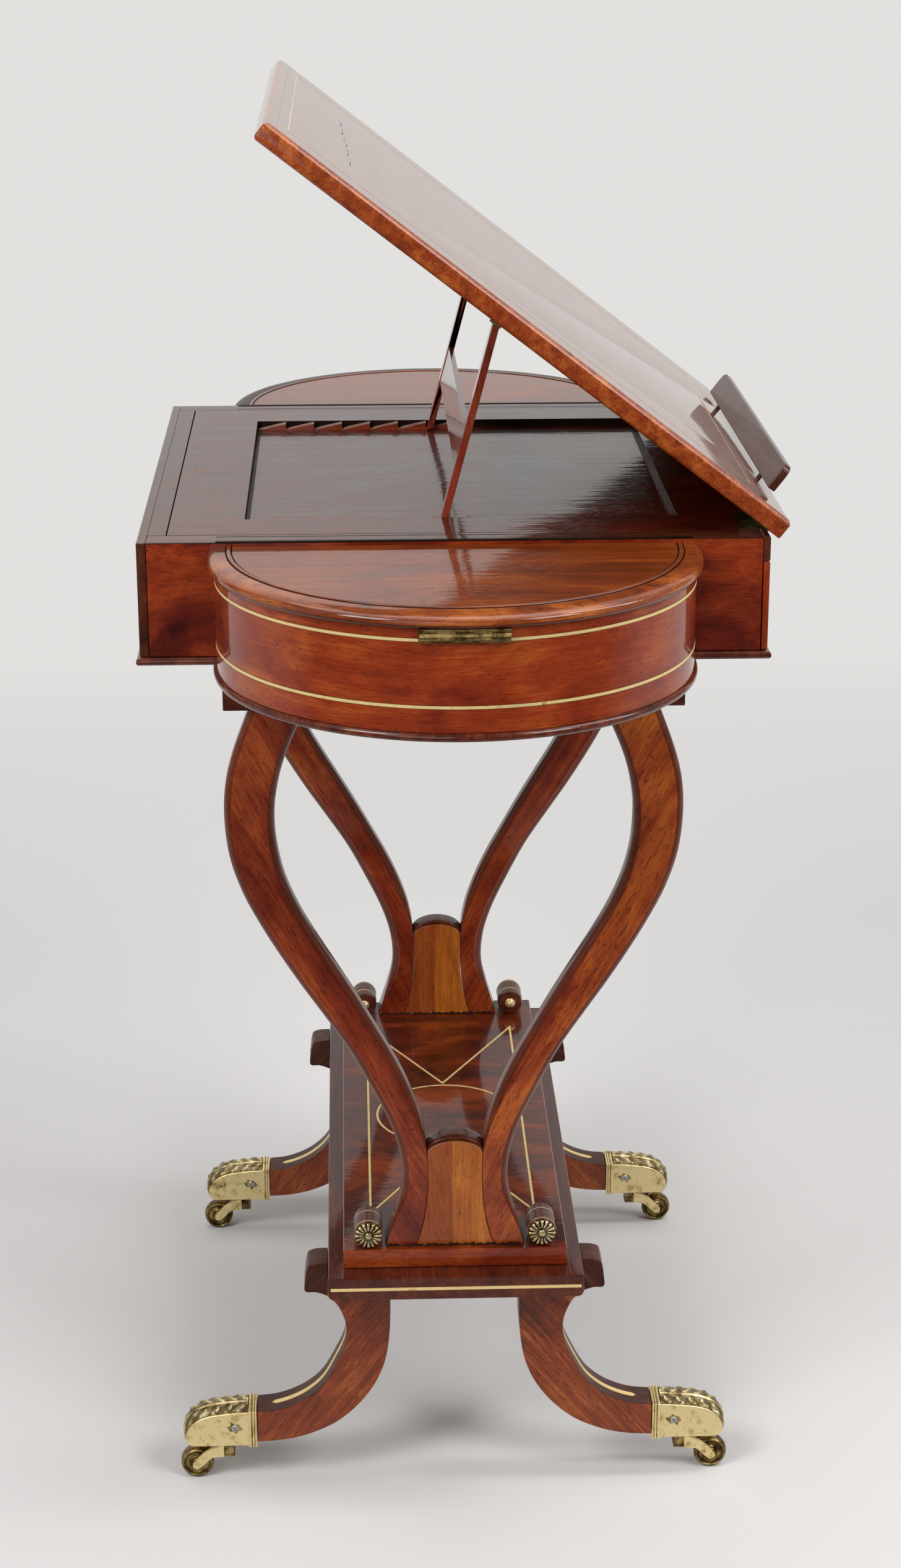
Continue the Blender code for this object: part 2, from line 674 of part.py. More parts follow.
def lid_piece():
    """Round-ended lid with an inlaid bead, drawn for the far end about its hinge axis."""
    start_y = CASE_HALF_Y + GAP
    outline = end_path(LID_RADIUS, start_y)
    board = round_rims(plate([outline], LID_THICK), outline[1:-1], LID_ROUND, 2)
    lid = pattern(board, END_WOOD)
    straight_y = CASE_HALF_Y + LID_BEAD_DEPTH - LID_BEAD_HALF_X
    inner = LID_BEAD_HALF_X - LID_BEAD_WIDTH
    side = LID_GROOVE_WIDTH
    groove_loop = end_strip(LID_BEAD_HALF_X + side, inner - side, CASE_HALF_Y - OVERRUN, straight_y)
    groove = plate([groove_loop], LID_GROOVE_DEPTH + OVERRUN)
    bottom = LID_THICK / 2 - LID_GROOVE_DEPTH
    boolean(lid, moved(groove, Matrix.Translation((0, 0, bottom + (LID_GROOVE_DEPTH + OVERRUN) / 2))))
    bead_loop = end_strip(LID_BEAD_HALF_X, inner, start_y + GAP, straight_y)
    bead = round_rims(plate([bead_loop], LID_BEAD_TALL), bead_loop, LID_BEAD_ROUND, 1, (1,))
    bead_z = LID_THICK / 2 + LID_BEAD_RISE - LID_BEAD_TALL / 2
    boolean(lid, moved(bead, Matrix.Translation((0, 0, bead_z))), "UNION")
    to_axis = Matrix.Translation((0, -LID_AXIS_Y, LID_BASE_Z + LID_THICK / 2 - LID_AXIS_Z))
    return moved(frozen(lid), to_axis)


def lids(root):
    """Both lids on their hinges at the far point of each round end."""
    mesh = lid_piece()
    low = LID_LEAF_ABOVE_AXIS
    leaf_high = LID_BASE_Z - GAP - LID_AXIS_Z
    lid_leaf = hinge_leaf(low, leaf_high, LID_LEAF_REACH, LID_HINGE_LENGTH, LENGTHWISE, False)
    clear = KNUCKLE_RADIUS + GAP
    box_leaf = hinge_leaf(clear, clear + BOX_LEAF_THICK, BOX_LEAF_REACH, LID_HINGE_LENGTH, HANGING, True)
    for end, sign in ENDS.items():
        turn = 0 if sign > 0 else math.pi
        place = (0, sign * LID_AXIS_Y, LID_AXIS_Z)
        axis = empty(f"lid_axis_{end}", root, place)
        part(f"lid_{end}", mesh, END_WOOD, axis, turn=turn)
        part(f"lid_hinge_leaf_{end}", lid_leaf, CAST_BRASS, axis, turn=turn)
        part(f"lid_hinge_box_leaf_{end}", box_leaf, CAST_BRASS, root, place, turn)


def sliding_top(panel):
    """Tongued panel with its well, end strip and the ratchet strips let into the well."""
    half_y = WALL_INNER_Y - GAP
    reach = half_y + TONGUE_REACH
    middle = PANEL_THICK / 2
    half_x = (STRIP_X - GAP - PANEL_LEFT_X - GAP) / 2
    board = box((-half_x, -half_y, -middle), (half_x, half_y, middle))
    top = part("slide_panel", board, TOP_WOOD, panel, (STRIP_X - GAP - half_x, 0, CASE_TOP_Z - middle))
    tongue = box((GAP - half_x, -reach, -TONGUE_THICK / 2), (half_x - GAP, reach, TONGUE_THICK / 2))
    boolean(top, tongue, "UNION")
    shift = Vector(top.location)
    well = box(Vector((WELL_LEFT_X, -WELL_HALF_Y, WELL_FLOOR_Z)) - shift,
               Vector((WELL_RIGHT_X, WELL_HALF_Y, CASE_TOP_Z + OVERRUN)) - shift)
    boolean(top, well)

    strip = eased(part("panel_front_strip",
                       box((STRIP_X, -CASE_HALF_Y, PANEL_BASE_Z), (CASE_HALF_X, CASE_HALF_Y, CASE_TOP_Z)),
                       CASE_WOOD, panel))
    for sign in (-1, 1):
        low_y = sign * SLOPE_HINGE_Y - SLOPE_LEAF_LENGTH / 2 - GAP
        high_y = sign * SLOPE_HINGE_Y + SLOPE_LEAF_LENGTH / 2 + GAP
        low = Vector((HINGE_X - SLOPE_LEAF_REACH - GAP, low_y, CASE_TOP_Z - LEAF_EDGE - LEAF_THICK - GAP))
        high = Vector((HINGE_X, high_y, CASE_TOP_Z + OVERRUN))
        boolean(top, box(low - shift, high - shift))
        boolean(strip, box(low, high))

    length = RATCHET_NOTCHES * RATCHET_PITCH
    base = WELL_FLOOR_Z - RATCHET_LET_IN + GAP
    saw = [(RATCHET_X, base), (RATCHET_X + length, base)]
    for notch in reversed(range(RATCHET_NOTCHES)):
        wall_x = RATCHET_X + notch * RATCHET_PITCH
        saw += [(wall_x + RATCHET_PITCH, RATCHET_TOP_Z), (wall_x, NOTCH_Z)]
    ratchet = moved(plate([saw], RATCHET_WIDTH), UPRIGHT)
    for end, sign in ENDS.items():
        middle_y = sign * (WELL_HALF_Y - 2 * GAP - RATCHET_WIDTH / 2)
        part(f"ratchet_{end}", ratchet, TOP_WOOD, panel, (0, middle_y, 0))
        half = RATCHET_WIDTH / 2 + GAP
        low = Vector((RATCHET_X - GAP, middle_y - half, WELL_FLOOR_Z - RATCHET_LET_IN))
        high = Vector((RATCHET_X + length + GAP, middle_y + half, WELL_FLOOR_Z + OVERRUN))
        boolean(top, box(low - shift, high - shift))


def slope_hinges(panel, slope):
    """Butt hinges between the sliding top's edge and the slope."""
    edge = LEAF_EDGE + LEAF_THICK
    panel_leaf = hinge_leaf(-edge, -LEAF_EDGE, SLOPE_LEAF_REACH, SLOPE_LEAF_LENGTH, UPRIGHT, True)
    board_leaf = hinge_leaf(LEAF_EDGE + GAP, edge + GAP, SLOPE_LEAF_REACH, SLOPE_LEAF_LENGTH, UPRIGHT, False)
    for end, sign in ENDS.items():
        along = sign * SLOPE_HINGE_Y
        part(f"slope_hinge_panel_leaf_{end}", panel_leaf, CAST_BRASS, panel, (HINGE_X, along, HINGE_Z))
        part(f"slope_hinge_board_leaf_{end}", board_leaf, CAST_BRASS, slope, (0, along, 0))


def slope_board(slope):
    """Slope in its own frame: the hinge axis is the Y axis, and the board runs to -X."""
    half_length = BOARD_LENGTH / 2
    outline = rect(half_length, BOARD_HALF_Y)
    mesh = round_rims(plate([outline], BOARD_THICK), outline, BOARD_ROUND, 2, (1,))
    board = part("slope_board", mesh, SLOPE_WOOD, slope, (BOARD_NOSE - half_length, 0, GAP + BOARD_THICK / 2))
    shift = Vector(board.location)
    clear = KNUCKLE_RADIUS + GAP
    for sign in (-1, 1):
        low_y = sign * SLOPE_HINGE_Y - SLOPE_LEAF_LENGTH / 2 - GAP
        high_y = sign * SLOPE_HINGE_Y + SLOPE_LEAF_LENGTH / 2 + GAP
        leaf_top = LEAF_EDGE + LEAF_THICK + 2 * GAP
        recess = box(Vector((-SLOPE_LEAF_REACH - GAP, low_y, -OVERRUN)) - shift,
                     Vector((0, high_y, leaf_top)) - shift)
        knuckles = box(Vector((-clear, low_y, -OVERRUN)) - shift,
                       Vector((BOARD_NOSE + OVERRUN, high_y, clear)) - shift)
        boolean(board, recess)
        boolean(board, knuckles)
        bore_floor = BOARD_FACE - LEDGE_PIN_IN_BOARD - LEDGE_DROP - GAP
        bore = rod(LEDGE_PIN_RADIUS + GAP, bore_floor, BOARD_FACE + OVERRUN, SMALL_STEPS)
        boolean(board, moved(bore, Matrix.Translation(Vector((LEDGE_ALONG, sign * LEDGE_PIN_Y, 0)) - shift)))


def book_ledge(slope):
    """Ledge across the slope's lower edge, on two pins that slide in the board."""
    frame = empty("ledge_slide", slope, (LEDGE_ALONG, 0, BOARD_FACE))
    top = LEDGE_RAISED + LEDGE_HEIGHT
    corner_z = top - LEDGE_CORNER
    corner_y = LEDGE_HALF_Y - LEDGE_CORNER
    outline = [(-LEDGE_HALF_Y, LEDGE_RAISED), (LEDGE_HALF_Y, LEDGE_RAISED)]
    outline += arc(LEDGE_CORNER, 0, math.pi / 2, CORNER_STEPS, (corner_y, corner_z))
    outline += arc(LEDGE_CORNER, math.pi / 2, math.pi, CORNER_STEPS, (-corner_y, corner_z))
    board = plate([outline], LEDGE_THICK)
    ledge = eased(part("book_ledge", moved(board, LENGTHWISE), SLOPE_WOOD, frame))
    for sign in (-1, 1):
        pin = rod(LEDGE_PIN_RADIUS, -LEDGE_PIN_IN_BOARD, LEDGE_RAISED + LEDGE_PIN_IN_LEDGE, SMALL_STEPS)
        boolean(ledge, moved(pin, Matrix.Translation((0, sign * LEDGE_PIN_Y, 0))), "UNION")


def foot_reach(across):
    """Length of the prop's leg at a point of its thickness, down to the notch's ramp."""
    sine = math.sin(PROP_LEAN)
    cosine = math.cos(PROP_LEAN)
    ramp_z = NOTCH_Z + GAP * math.hypot(1, RAMP)
    drop = PIVOT_Z - across * sine - ramp_z
    run = PIVOT_X + across * cosine - LAST_NOTCH_X
    return (drop - RAMP * run) / (cosine - RAMP * sine)


def prop(slope):
    """Frame that holds the slope up: two legs and a cross rail, hung on pins under the board."""
    frame = empty("prop_pivot", slope, (PIVOT_ALONG, 0, PIVOT_ABOVE), (0, PROP_LEAN - SLOPE_ANGLE, 0))
    half = PROP_THICK / 2
    outline = [(-half, -foot_reach(-half)), (half, -foot_reach(half)), *arc(half, 0, math.pi, SMALL_STEPS)]
    leg = moved(plate([outline, circle(PROP_PIN_RADIUS + GAP, SMALL_STEPS)], PROP_WIDTH), UPRIGHT)
    near = moved(leg, Matrix.Translation((0, -PROP_Y, 0)))
    far = moved(leg, Matrix.Translation((0, PROP_Y, 0)))
    made = part("prop_frame", near, SLOPE_WOOD, frame)
    rail_base = CROSS_ABOVE_FOOT - foot_reach(0)
    rail_half_y = PROP_Y - PROP_WIDTH / 2 + CROSS_TENON
    rail = box((-CROSS_THICK / 2, -rail_half_y, rail_base),
               (CROSS_THICK / 2, rail_half_y, rail_base + CROSS_TALL))
    boolean(made, rail, "UNION")
    boolean(made, far, "UNION")
    prop_brackets(slope)


def prop_brackets(slope):
    """Ears and pins under the board that carry the prop's legs."""
    low_z = PIVOT_ABOVE - PROP_PIN_RADIUS - BRACKET_BELOW_PIN
    ear_y = PROP_WIDTH / 2 + GAP
    pin_half = ear_y + BRACKET_THICK / 2
    for end, sign in ENDS.items():
        pin = moved(rod(PROP_PIN_RADIUS, -pin_half, pin_half, SMALL_STEPS), UPRIGHT)
        pin = moved(pin, Matrix.Translation((0, 0, PIVOT_ABOVE)))
        bracket = part(f"prop_bracket_{end}", pin, DARK_BRASS, slope, (PIVOT_ALONG, sign * PROP_Y, 0))
        for side in (-1, 1):
            low_y, high_y = sorted((side * ear_y, side * (ear_y + BRACKET_THICK)))
            ear = box((-BRACKET_LENGTH / 2, low_y, low_z), (BRACKET_LENGTH / 2, high_y, 0))
            boolean(bracket, ear, "UNION")


def arm_curves():
    """Outer and inner edge of a lyre's right arm, bottom to top."""
    outer = smooth(scaled(ARM_OUTER_SHARES, LYRE_HALF_SPREAD, LYRE_HEIGHT - 2 * GAP))
    inner = smooth(scaled(ARM_INNER_SHARES, LYRE_HALF_SPREAD, LYRE_HEIGHT - 2 * GAP))
    return outer, inner


def lyres(root):
    """Lyre arms, and the stems between their feet with a rounded cap over each."""
    outer, inner = arm_curves()
    shoulder = STEM_TOP_Z - LYRE_BASE_Z
    beside_stem = [point for point in inner if point[1] <= shoulder + TOUCH]
    open_inner = inner[len(beside_stem) - 1:]
    arm = plate([outer + inner[::-1]], LYRE_THICK)
    arm = round_rims(arm, outer + open_inner, LYRE_ROUND, 1)
    arm = moved(arm, UPRIGHT)

    flank = [(x - GAP, z) for x, z in beside_stem]
    half = flank[-1][0]
    arch = [(half * math.cos(a), shoulder + STEM_ARCH_RISE * math.sin(a))
            for a in [math.pi * step / TURN_STEPS for step in range(1, TURN_STEPS)]]
    stem = moved(plate([flank + arch + [(-x, z) for x, z in flank[::-1]]], LYRE_THICK), UPRIGHT)

    angles = [math.pi * step / TURN_STEPS for step in range(TURN_STEPS + 1)]
    lap = STEM_ARCH_RISE / 2
    tuck = half - GAP
    over_rise = STEM_ARCH_RISE + CAP_THICK - CAP_END
    over = [(tuck * math.cos(a), shoulder + CAP_END + over_rise * math.sin(a)) for a in angles]
    over += [(-tuck, shoulder - lap), (tuck, shoulder - lap)]
    cap = moved(plate([over], LYRE_THICK - 2 * CAP_SET_BACK), UPRIGHT)

    base = LYRE_BASE_Z + GAP
    for end, end_sign in ENDS.items():
        for side, side_sign in SIDES.items():
            turn = 0 if side_sign > 0 else math.pi
            part(f"lyre_arm_{end}_{side}", arm, STAND_WOOD, root, (0, end_sign * LYRE_Y, base), turn)
        boolean(part(f"lyre_stem_{end}", stem, STEM_WOOD, root, (0, end_sign * LYRE_Y, base)), cap, "UNION")
        low_y = end_sign * BEARER_Y - BEARER_WIDTH / 2
        beam = box((-BEARER_HALF_X, low_y, BEARER_BASE_Z),
                   (BEARER_HALF_X, low_y + BEARER_WIDTH, BEARER_BASE_Z + BEARER_HEIGHT))
        eased(part(f"bearer_{end}", beam, CASE_WOOD, root))


def bolsters(root):
    """Turned bolsters outside the lyre feet: a rosette on the outer end, a knob on the inner."""
    half = BOLSTER_LENGTH / 2
    radius = BOLSTER_RADIUS
    flower_top = half + ROSETTE_THICK
    flower = [(0, flower_top + ROSETTE_BOSS_RISE), (ROSETTE_BOSS_RADIUS, flower_top),
              (ROSETTE_RADIUS, flower_top - ROSETTE_THICK / 2), (ROSETTE_RADIUS, half)]
    barrel = [(radius, half - BOLSTER_ROUND), (radius, BOLSTER_ROUND - half), (radius - BOLSTER_ROUND, -half)]
    knob = arc(KNOB_RADIUS, 0, -math.pi / 2, CORNER_STEPS, (0, -half))
    knob[-1] = (0, knob[-1][1])
    mesh = turned(flower + barrel + knob)
    for end, end_sign in ENDS.items():
        outward = mesh.copy()
        outward.transform(Matrix.Rotation(-end_sign * math.pi / 2, 4, "X"))
        for side, side_sign in SIDES.items():
            place = (side_sign * BOLSTER_X, end_sign * LYRE_Y, LYRE_BASE_Z + GAP + radius)
            part(f"bolster_{end}_{side}", outward, STAND_WOOD, root, place)


def plinths(root):
    """Two stacked plinths, the upper one inlaid with an hourglass string and a ring."""
    middle_z = LOWER_PLINTH_TOP_Z - LOWER_PLINTH_THICK / 2
    section = round_section(rect(LOWER_PLINTH_HALF_X, LOWER_PLINTH_THICK / 2))
    part("lower_plinth", section, STAND_WOOD, root, (0, 0, middle_z))

    upper_mesh = box((-UPPER_PLINTH_HALF_X, -UPPER_PLINTH_HALF_Y, LOWER_PLINTH_TOP_Z + GAP),
                     (UPPER_PLINTH_HALF_X, UPPER_PLINTH_HALF_Y, LYRE_BASE_Z))
    upper = eased(part("upper_plinth", upper_mesh, STAND_WOOD, root))
    side = STRING_SIDE_X
    corner = STRING_CORNER_Y
    hourglass = [(side, -corner), (side, corner), (0, STRING_APEX_Y), (-side, corner), (-side, -corner),
                 (0, -STRING_APEX_Y)]
    ring = circle(STRING_RING_RADIUS, 2 * TURN_STEPS)
    groove_depth = STRING_THICK + GAP
    cutter_z = LYRE_BASE_Z - groove_depth + (groove_depth + OVERRUN) / 2
    string_z = LYRE_BASE_Z - STRING_THICK / 2
    for name, path in (("plinth_string_hourglass", hourglass), ("plinth_string_ring", ring)):
        groove = plate(band(path, STRING_WIDTH + 2 * GAP), groove_depth + OVERRUN)
        boolean(upper, moved(groove, Matrix.Translation((0, 0, cutter_z))))
        part(name, plate(band(path, STRING_WIDTH), STRING_THICK), LINE_BRASS, root, (0, 0, string_z))


def round_section(outline):
    """Lower plinth: its section with rounded bottom corners, run along the table."""
    radius = LOWER_PLINTH_ROUND
    bottom = outline[0][1]
    right = outline[1][0]
    quarter = math.pi / 2
    section = arc(radius, -2 * quarter, -quarter, CORNER_STEPS, (radius - right, bottom + radius))
    section += arc(radius, -quarter, 0, CORNER_STEPS, (right - radius, bottom + radius))
    section += outline[2:]
    return rounded_look(moved(plate([section], 2 * LOWER_PLINTH_HALF_Y), UPRIGHT))


def leg_outline():
    """Right-hand sabre leg, with the ear beside the plinth."""
    spread = COLLAR_X - GAP - LEG_ROOT_X
    rise = PLINTH_BASE_Z - SOCKET_BASE_Z
    side = LOWER_PLINTH_HALF_X + GAP
    ear_top = PLINTH_BASE_Z + EAR_ABOVE
    ear_base = PLINTH_BASE_Z - EAR_BELOW
    ear = smooth(scaled(EAR_SHARES, EAR_WIDTH, EAR_ABOVE + EAR_BELOW, side, ear_base), 1)
    upper = smooth(scaled(LEG_UPPER_SHARES, spread, rise, LEG_ROOT_X, SOCKET_BASE_Z))
    lower = smooth(scaled(LEG_LOWER_SHARES, spread, rise, LEG_ROOT_X, SOCKET_BASE_Z))
    root_top = [(LEG_ROOT_X, PLINTH_BASE_Z - GAP), (side, PLINTH_BASE_Z - GAP), (side, ear_top)]
    return root_top + ear + upper + lower


def legs(root):
    """Four sabre legs, drawn for the right, each with a tongue inside its socket."""
    blank = pattern(moved(plate([leg_outline()], LEG_THICK), UPRIGHT), STAND_WOOD)
    half = SOCKET_WIDTH / 2 - SOCKET_WALL
    tongue = box((COLLAR_X - OVERRUN, -half, LEG_TOE_Z),
                 (COLLAR_X + TONGUE_LENGTH, half, SOCKET_TOP_Z - SOCKET_ROOF - GAP))
    boolean(blank, tongue, "UNION")
    leg = frozen(blank)
    for end, end_sign in ENDS.items():
        for side, side_sign in SIDES.items():
            turn = 0 if side_sign > 0 else math.pi
            part(f"sabre_leg_{end}_{side}", leg, STAND_WOOD, root, (0, end_sign * LEG_Y, 0), turn)


def socket_piece():
    """Cast toe socket: a rounded box with a two-ringed collar, hollow for the leg's tongue."""
    toe = smooth(scaled(TOE_SHARES, TOE_LENGTH, SOCKET_HEIGHT, TOE_X, SOCKET_BASE_Z), 1)
    mouth = COLLAR_X + EASED
    body = plate([[(mouth, SOCKET_BASE_Z), (mouth, SOCKET_TOP_Z), *toe]], SOCKET_WIDTH)
    socket = pattern(moved(body, UPRIGHT), CAST_BRASS)
    half_width = SOCKET_WIDTH / 2 + COLLAR_STEP
    for index in range(2):
        start = COLLAR_X + index * (COLLAR_RING + COLLAR_GROOVE)
        ring = box((start, -half_width, SOCKET_BASE_Z - COLLAR_STEP),
                   (start + COLLAR_RING, half_width, SOCKET_TOP_Z + COLLAR_CROWN))
        boolean(socket, ring, "UNION")
    tongue_half = SOCKET_WIDTH / 2 - SOCKET_WALL + GAP
    pocket = box((COLLAR_X - OVERRUN, -tongue_half, SOCKET_BASE_Z + SOCKET_FLOOR),
                 (COLLAR_X + TONGUE_LENGTH + GAP, tongue_half, SOCKET_TOP_Z - SOCKET_ROOF))
    boolean(socket, pocket)
    bore_low = SOCKET_BASE_Z - OVERRUN
    bore_high = SOCKET_BASE_Z + SOCKET_FLOOR + OVERRUN
    bore = rod(SWIVEL_PIN_RADIUS + GAP, bore_low, bore_high, SMALL_STEPS)
    boolean(socket, moved(bore, Matrix.Translation((SWIVEL_X, 0, 0))))
    screw_z = SOCKET_BASE_Z + SCREW_HEIGHT_SHARE * SOCKET_HEIGHT
    screw_half = SOCKET_WIDTH / 2 + SCREW_HEAD
    for face in (-1, 1):
        low, high = sorted((face * (tongue_half + EASED), face * screw_half))
        head = moved(rod(SCREW_RADIUS, low, high, SMALL_STEPS), UPRIGHT)
        place = Matrix.Translation((TOE_X + SCREW_FROM_COLLAR, 0, screw_z))
        boolean(socket, moved(head, place), "UNION")
    return frozen(socket)


def horn_piece():
    """Forked horn about its swivel axis: stem block, pin, two arms and the riveted axle."""
    axle_z = WHEEL_RADIUS
    drop = SOCKET_BASE_Z - GAP - axle_z
    block_top = SOCKET_BASE_Z - GAP
    half_block = STEM_BLOCK_LENGTH / 2
    half_width = STEM_BLOCK_WIDTH / 2
    horn = pattern(box((-half_block, -half_width, block_top - STEM_BLOCK_HEIGHT),
                       (half_block, half_width, block_top)), DARK_BRASS)
    arm_top = smooth(scaled(ARM_TOP_SHARES, HORN_TRAIL, drop), 1)
    arm_base = smooth(scaled(ARM_BASE_SHARES, HORN_TRAIL, drop), 1)
    eye = arc(EYE_RADIUS, EYE_START, EYE_END, SMALL_STEPS)
    arm = moved(plate([arm_top + eye + arm_base], ARM_THICK), UPRIGHT)
    for side in (-1, 1):
        centre_y = side * (FORK_HALF + ARM_THICK / 2)
        boolean(horn, moved(arm, Matrix.Translation((HORN_TRAIL, centre_y, axle_z))), "UNION")
    pin_top = SOCKET_BASE_Z + SOCKET_FLOOR - GAP
    boolean(horn, rod(SWIVEL_PIN_RADIUS, block_top - STEM_BLOCK_HEIGHT / 2, pin_top, SMALL_STEPS), "UNION")
    axle_half = FORK_HALF + ARM_THICK + AXLE_HEAD
    axle = moved(rod(AXLE_RADIUS, -axle_half, axle_half, SMALL_STEPS), UPRIGHT)
    boolean(horn, moved(axle, Matrix.Translation((HORN_TRAIL, 0, axle_z))), "UNION")
    return frozen(horn)


def wheel_piece():
    """Cast wheel with a rounded tread and dished sides, turned about its axle."""
    half = WHEEL_WIDTH / 2
    bore = AXLE_RADIUS + GAP
    rim = WHEEL_RADIUS - half / 2
    dish = half / 2
    profile = [(bore, half), (WHEEL_HUB_RADIUS, half), (WHEEL_HUB_RADIUS + dish / 2, dish),
               (rim - dish / 2, dish), (rim, half - EASED), (WHEEL_RADIUS - EASED, half / 2),
               (WHEEL_RADIUS, 0)]
    profile += [(radius, -height) for radius, height in profile[-2::-1]]
    return moved(turned(profile, ring=True), UPRIGHT)


def castors(root):
    """Toe sockets, and the swivelling horns with their wheels."""
    socket = socket_piece()
    horn = horn_piece()
    wheel = wheel_piece()
    for end, end_sign in ENDS.items():
        for side, side_sign in SIDES.items():
            turn = 0 if side_sign > 0 else math.pi
            corner = f"{end}_{side}"
            part(f"castor_socket_{corner}", socket, CAST_BRASS, root, (0, end_sign * LEG_Y, 0), turn)
            place = (side_sign * SWIVEL_X, end_sign * LEG_Y, 0)
            swivel = empty(f"swivel_axis_{corner}", root, place, (0, 0, turn))
            part(f"castor_horn_{corner}", horn, DARK_BRASS, swivel)
            axle = empty(f"axle_axis_{corner}", swivel, (HORN_TRAIL, 0, WHEEL_RADIUS))
            part(f"castor_wheel_{corner}", wheel, DARK_BRASS, axle)


def table():
    root = empty("table", place=(CENTRE_X, 0, 0))
    case(root)
    for end, sign in ENDS.items():
        round_end(root, end, sign)
    lids(root)
    panel = empty("panel_slide", root)
    sliding_top(panel)
    slope = empty("slope_axis", panel, (HINGE_X, 0, HINGE_Z), (0, SLOPE_ANGLE, 0))
    slope_board(slope)
    slope_hinges(panel, slope)
    book_ledge(slope)
    prop(slope)
    lyres(root)
    bolsters(root)
    plinths(root)
    legs(root)
    castors(root)


table()
bpy.context.view_layer.update()
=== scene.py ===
"""Looks of the mahogany reading and games table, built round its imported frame.

Metres, +Z up. Pieces are drawn about the stand's own middle, where x = 0, and moved onto the
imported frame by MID, because the raised table stands over the world's origin.
"""
import math

import bmesh
import bpy
from mathutils import Matrix, Vector


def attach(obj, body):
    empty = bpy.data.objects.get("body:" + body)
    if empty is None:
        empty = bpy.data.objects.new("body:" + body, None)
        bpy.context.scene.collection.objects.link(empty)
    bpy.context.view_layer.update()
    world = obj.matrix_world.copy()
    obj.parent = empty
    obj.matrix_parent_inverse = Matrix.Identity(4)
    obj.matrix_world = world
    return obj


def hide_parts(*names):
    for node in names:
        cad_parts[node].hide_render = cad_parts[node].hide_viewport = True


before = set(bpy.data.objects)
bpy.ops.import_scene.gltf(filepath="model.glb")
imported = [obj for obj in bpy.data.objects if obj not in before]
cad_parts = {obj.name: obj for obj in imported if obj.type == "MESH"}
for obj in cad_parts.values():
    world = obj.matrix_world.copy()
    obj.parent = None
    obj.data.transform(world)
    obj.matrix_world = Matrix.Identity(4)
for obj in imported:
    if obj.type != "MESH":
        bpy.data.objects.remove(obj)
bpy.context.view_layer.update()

MID = -0.0097977
HERE = Matrix.Identity(4)
HALF_TURN = Matrix.Rotation(math.pi, 4, "Z")
UPRIGHT = Matrix.Rotation(math.pi / 2, 4, "X")
ENDS = {"near": -1, "far": 1}
SIDES = {"left": -1, "right": 1}
GAP = 0.0003

# Levels of the case and its round ends
BOARD_BASE_Z, WALL_BASE_Z, APRON_TOP_Z = 0.6495, 0.6554, 0.723
LID_BASE_Z, LID_TOP_Z, CASE_TOP_Z = 0.7236, 0.732, 0.735
CASE_HALF_X, CASE_HALF_Y = 0.214, 0.229
END_MIDDLE_Y, END_RADIUS, APRON_THICK = 0.244, 0.161, 0.014
ROUND_START_Y = CASE_HALF_Y + GAP
LID_RADIUS, BEAD_RADIUS, BEAD_MIDDLE_Y = 0.1655, 0.153, 0.237
LID_AXIS_Y, LID_AXIS_Z, LEAF_LOW_Z = 0.4078, 0.7186, 0.7139
HINGE_HALF = 0.0288
HINGE_TURN = math.acos(HINGE_HALF / END_RADIUS)
WELL_LEFT_X, WELL_RIGHT_X, WELL_HALF_Y, WELL_FLOOR_Z = -0.143, 0.157, 0.165, 0.729

# Slope: its board's face, half length, nose and top end, and the seams of its two lippings
ON_SLOPE = Matrix.Translation((0.2168, 0, CASE_TOP_Z)) @ Matrix.Rotation(math.radians(37.5), 4, "Y")
OFF_SLOPE = ON_SLOPE.inverted()
FACE_Z, BOARD_HALF_Y, NOSE_X, TOP_END_X = GAP + 0.014, CASE_HALF_Y + 0.0005, 0.0032, 0.0032 - 0.440
LOW_SEAM_X, HIGH_SEAM_X = NOSE_X - 0.0105, TOP_END_X + 0.009

# Stand
PLINTH_BASE_Z, PLINTH_TOP_Z = 0.170, 0.2021
LYRE_Y, LYRE_THICK, LYRE_HEIGHT, LYRE_SPREAD = 0.2125, 0.021, 0.4123, 0.1605
STEM_SHARE, STEM_SEAM_X = 0.179, -0.002
LEG_Y, LEG_THICK, LEG_SIDE_X, LEG_ROOT_X = 0.202, 0.026, 0.0938, 0.0478
COLLAR_X, SOCKET_BASE_Z = 0.149, 0.0315


# Materials

def linear(code):
    """A colour written as sRGB hex, turned to linear."""
    shares = [int(code[i:i + 2], 16) / 255 for i in (0, 2, 4)]
    return (*[c / 12.92 if c <= 0.04045 else ((c + 0.055) / 1.055) ** 2.4 for c in shares], 1)


def plugged(tree, made, inputs):
    """Fill a node's inputs: each is a plain value or the output that feeds it."""
    for key, value in inputs.items():
        if isinstance(value, bpy.types.NodeSocket):
            tree.links.new(value, made.inputs[key])
        else:
            made.inputs[key].default_value = value


def node(tree, kind, inputs, output=0, stops=(), **settings):
    """Add a node and give back one of its outputs."""
    made = tree.nodes.new("ShaderNode" + kind)
    for name, value in settings.items():
        setattr(made, name, value)
    plugged(tree, made, inputs)
    if stops:
        marks = made.color_ramp.elements
        while len(marks) < len(stops):
            marks.new(1)
        for mark, (place, shade) in zip(marks, stops):
            mark.position, mark.color = place, linear(shade)
    return made.outputs[output]


def noise(tree, place, scale, detail, rough=0.5, **more):
    """Noise of one scale, or of three where it is stretched."""
    if isinstance(scale, tuple):
        place, scale = node(tree, "Mapping", {"Vector": place, "Scale": scale}), 1
    return node(tree, "TexNoise",
                {"Vector": place, "Scale": scale, "Detail": detail, "Roughness": rough, **more})


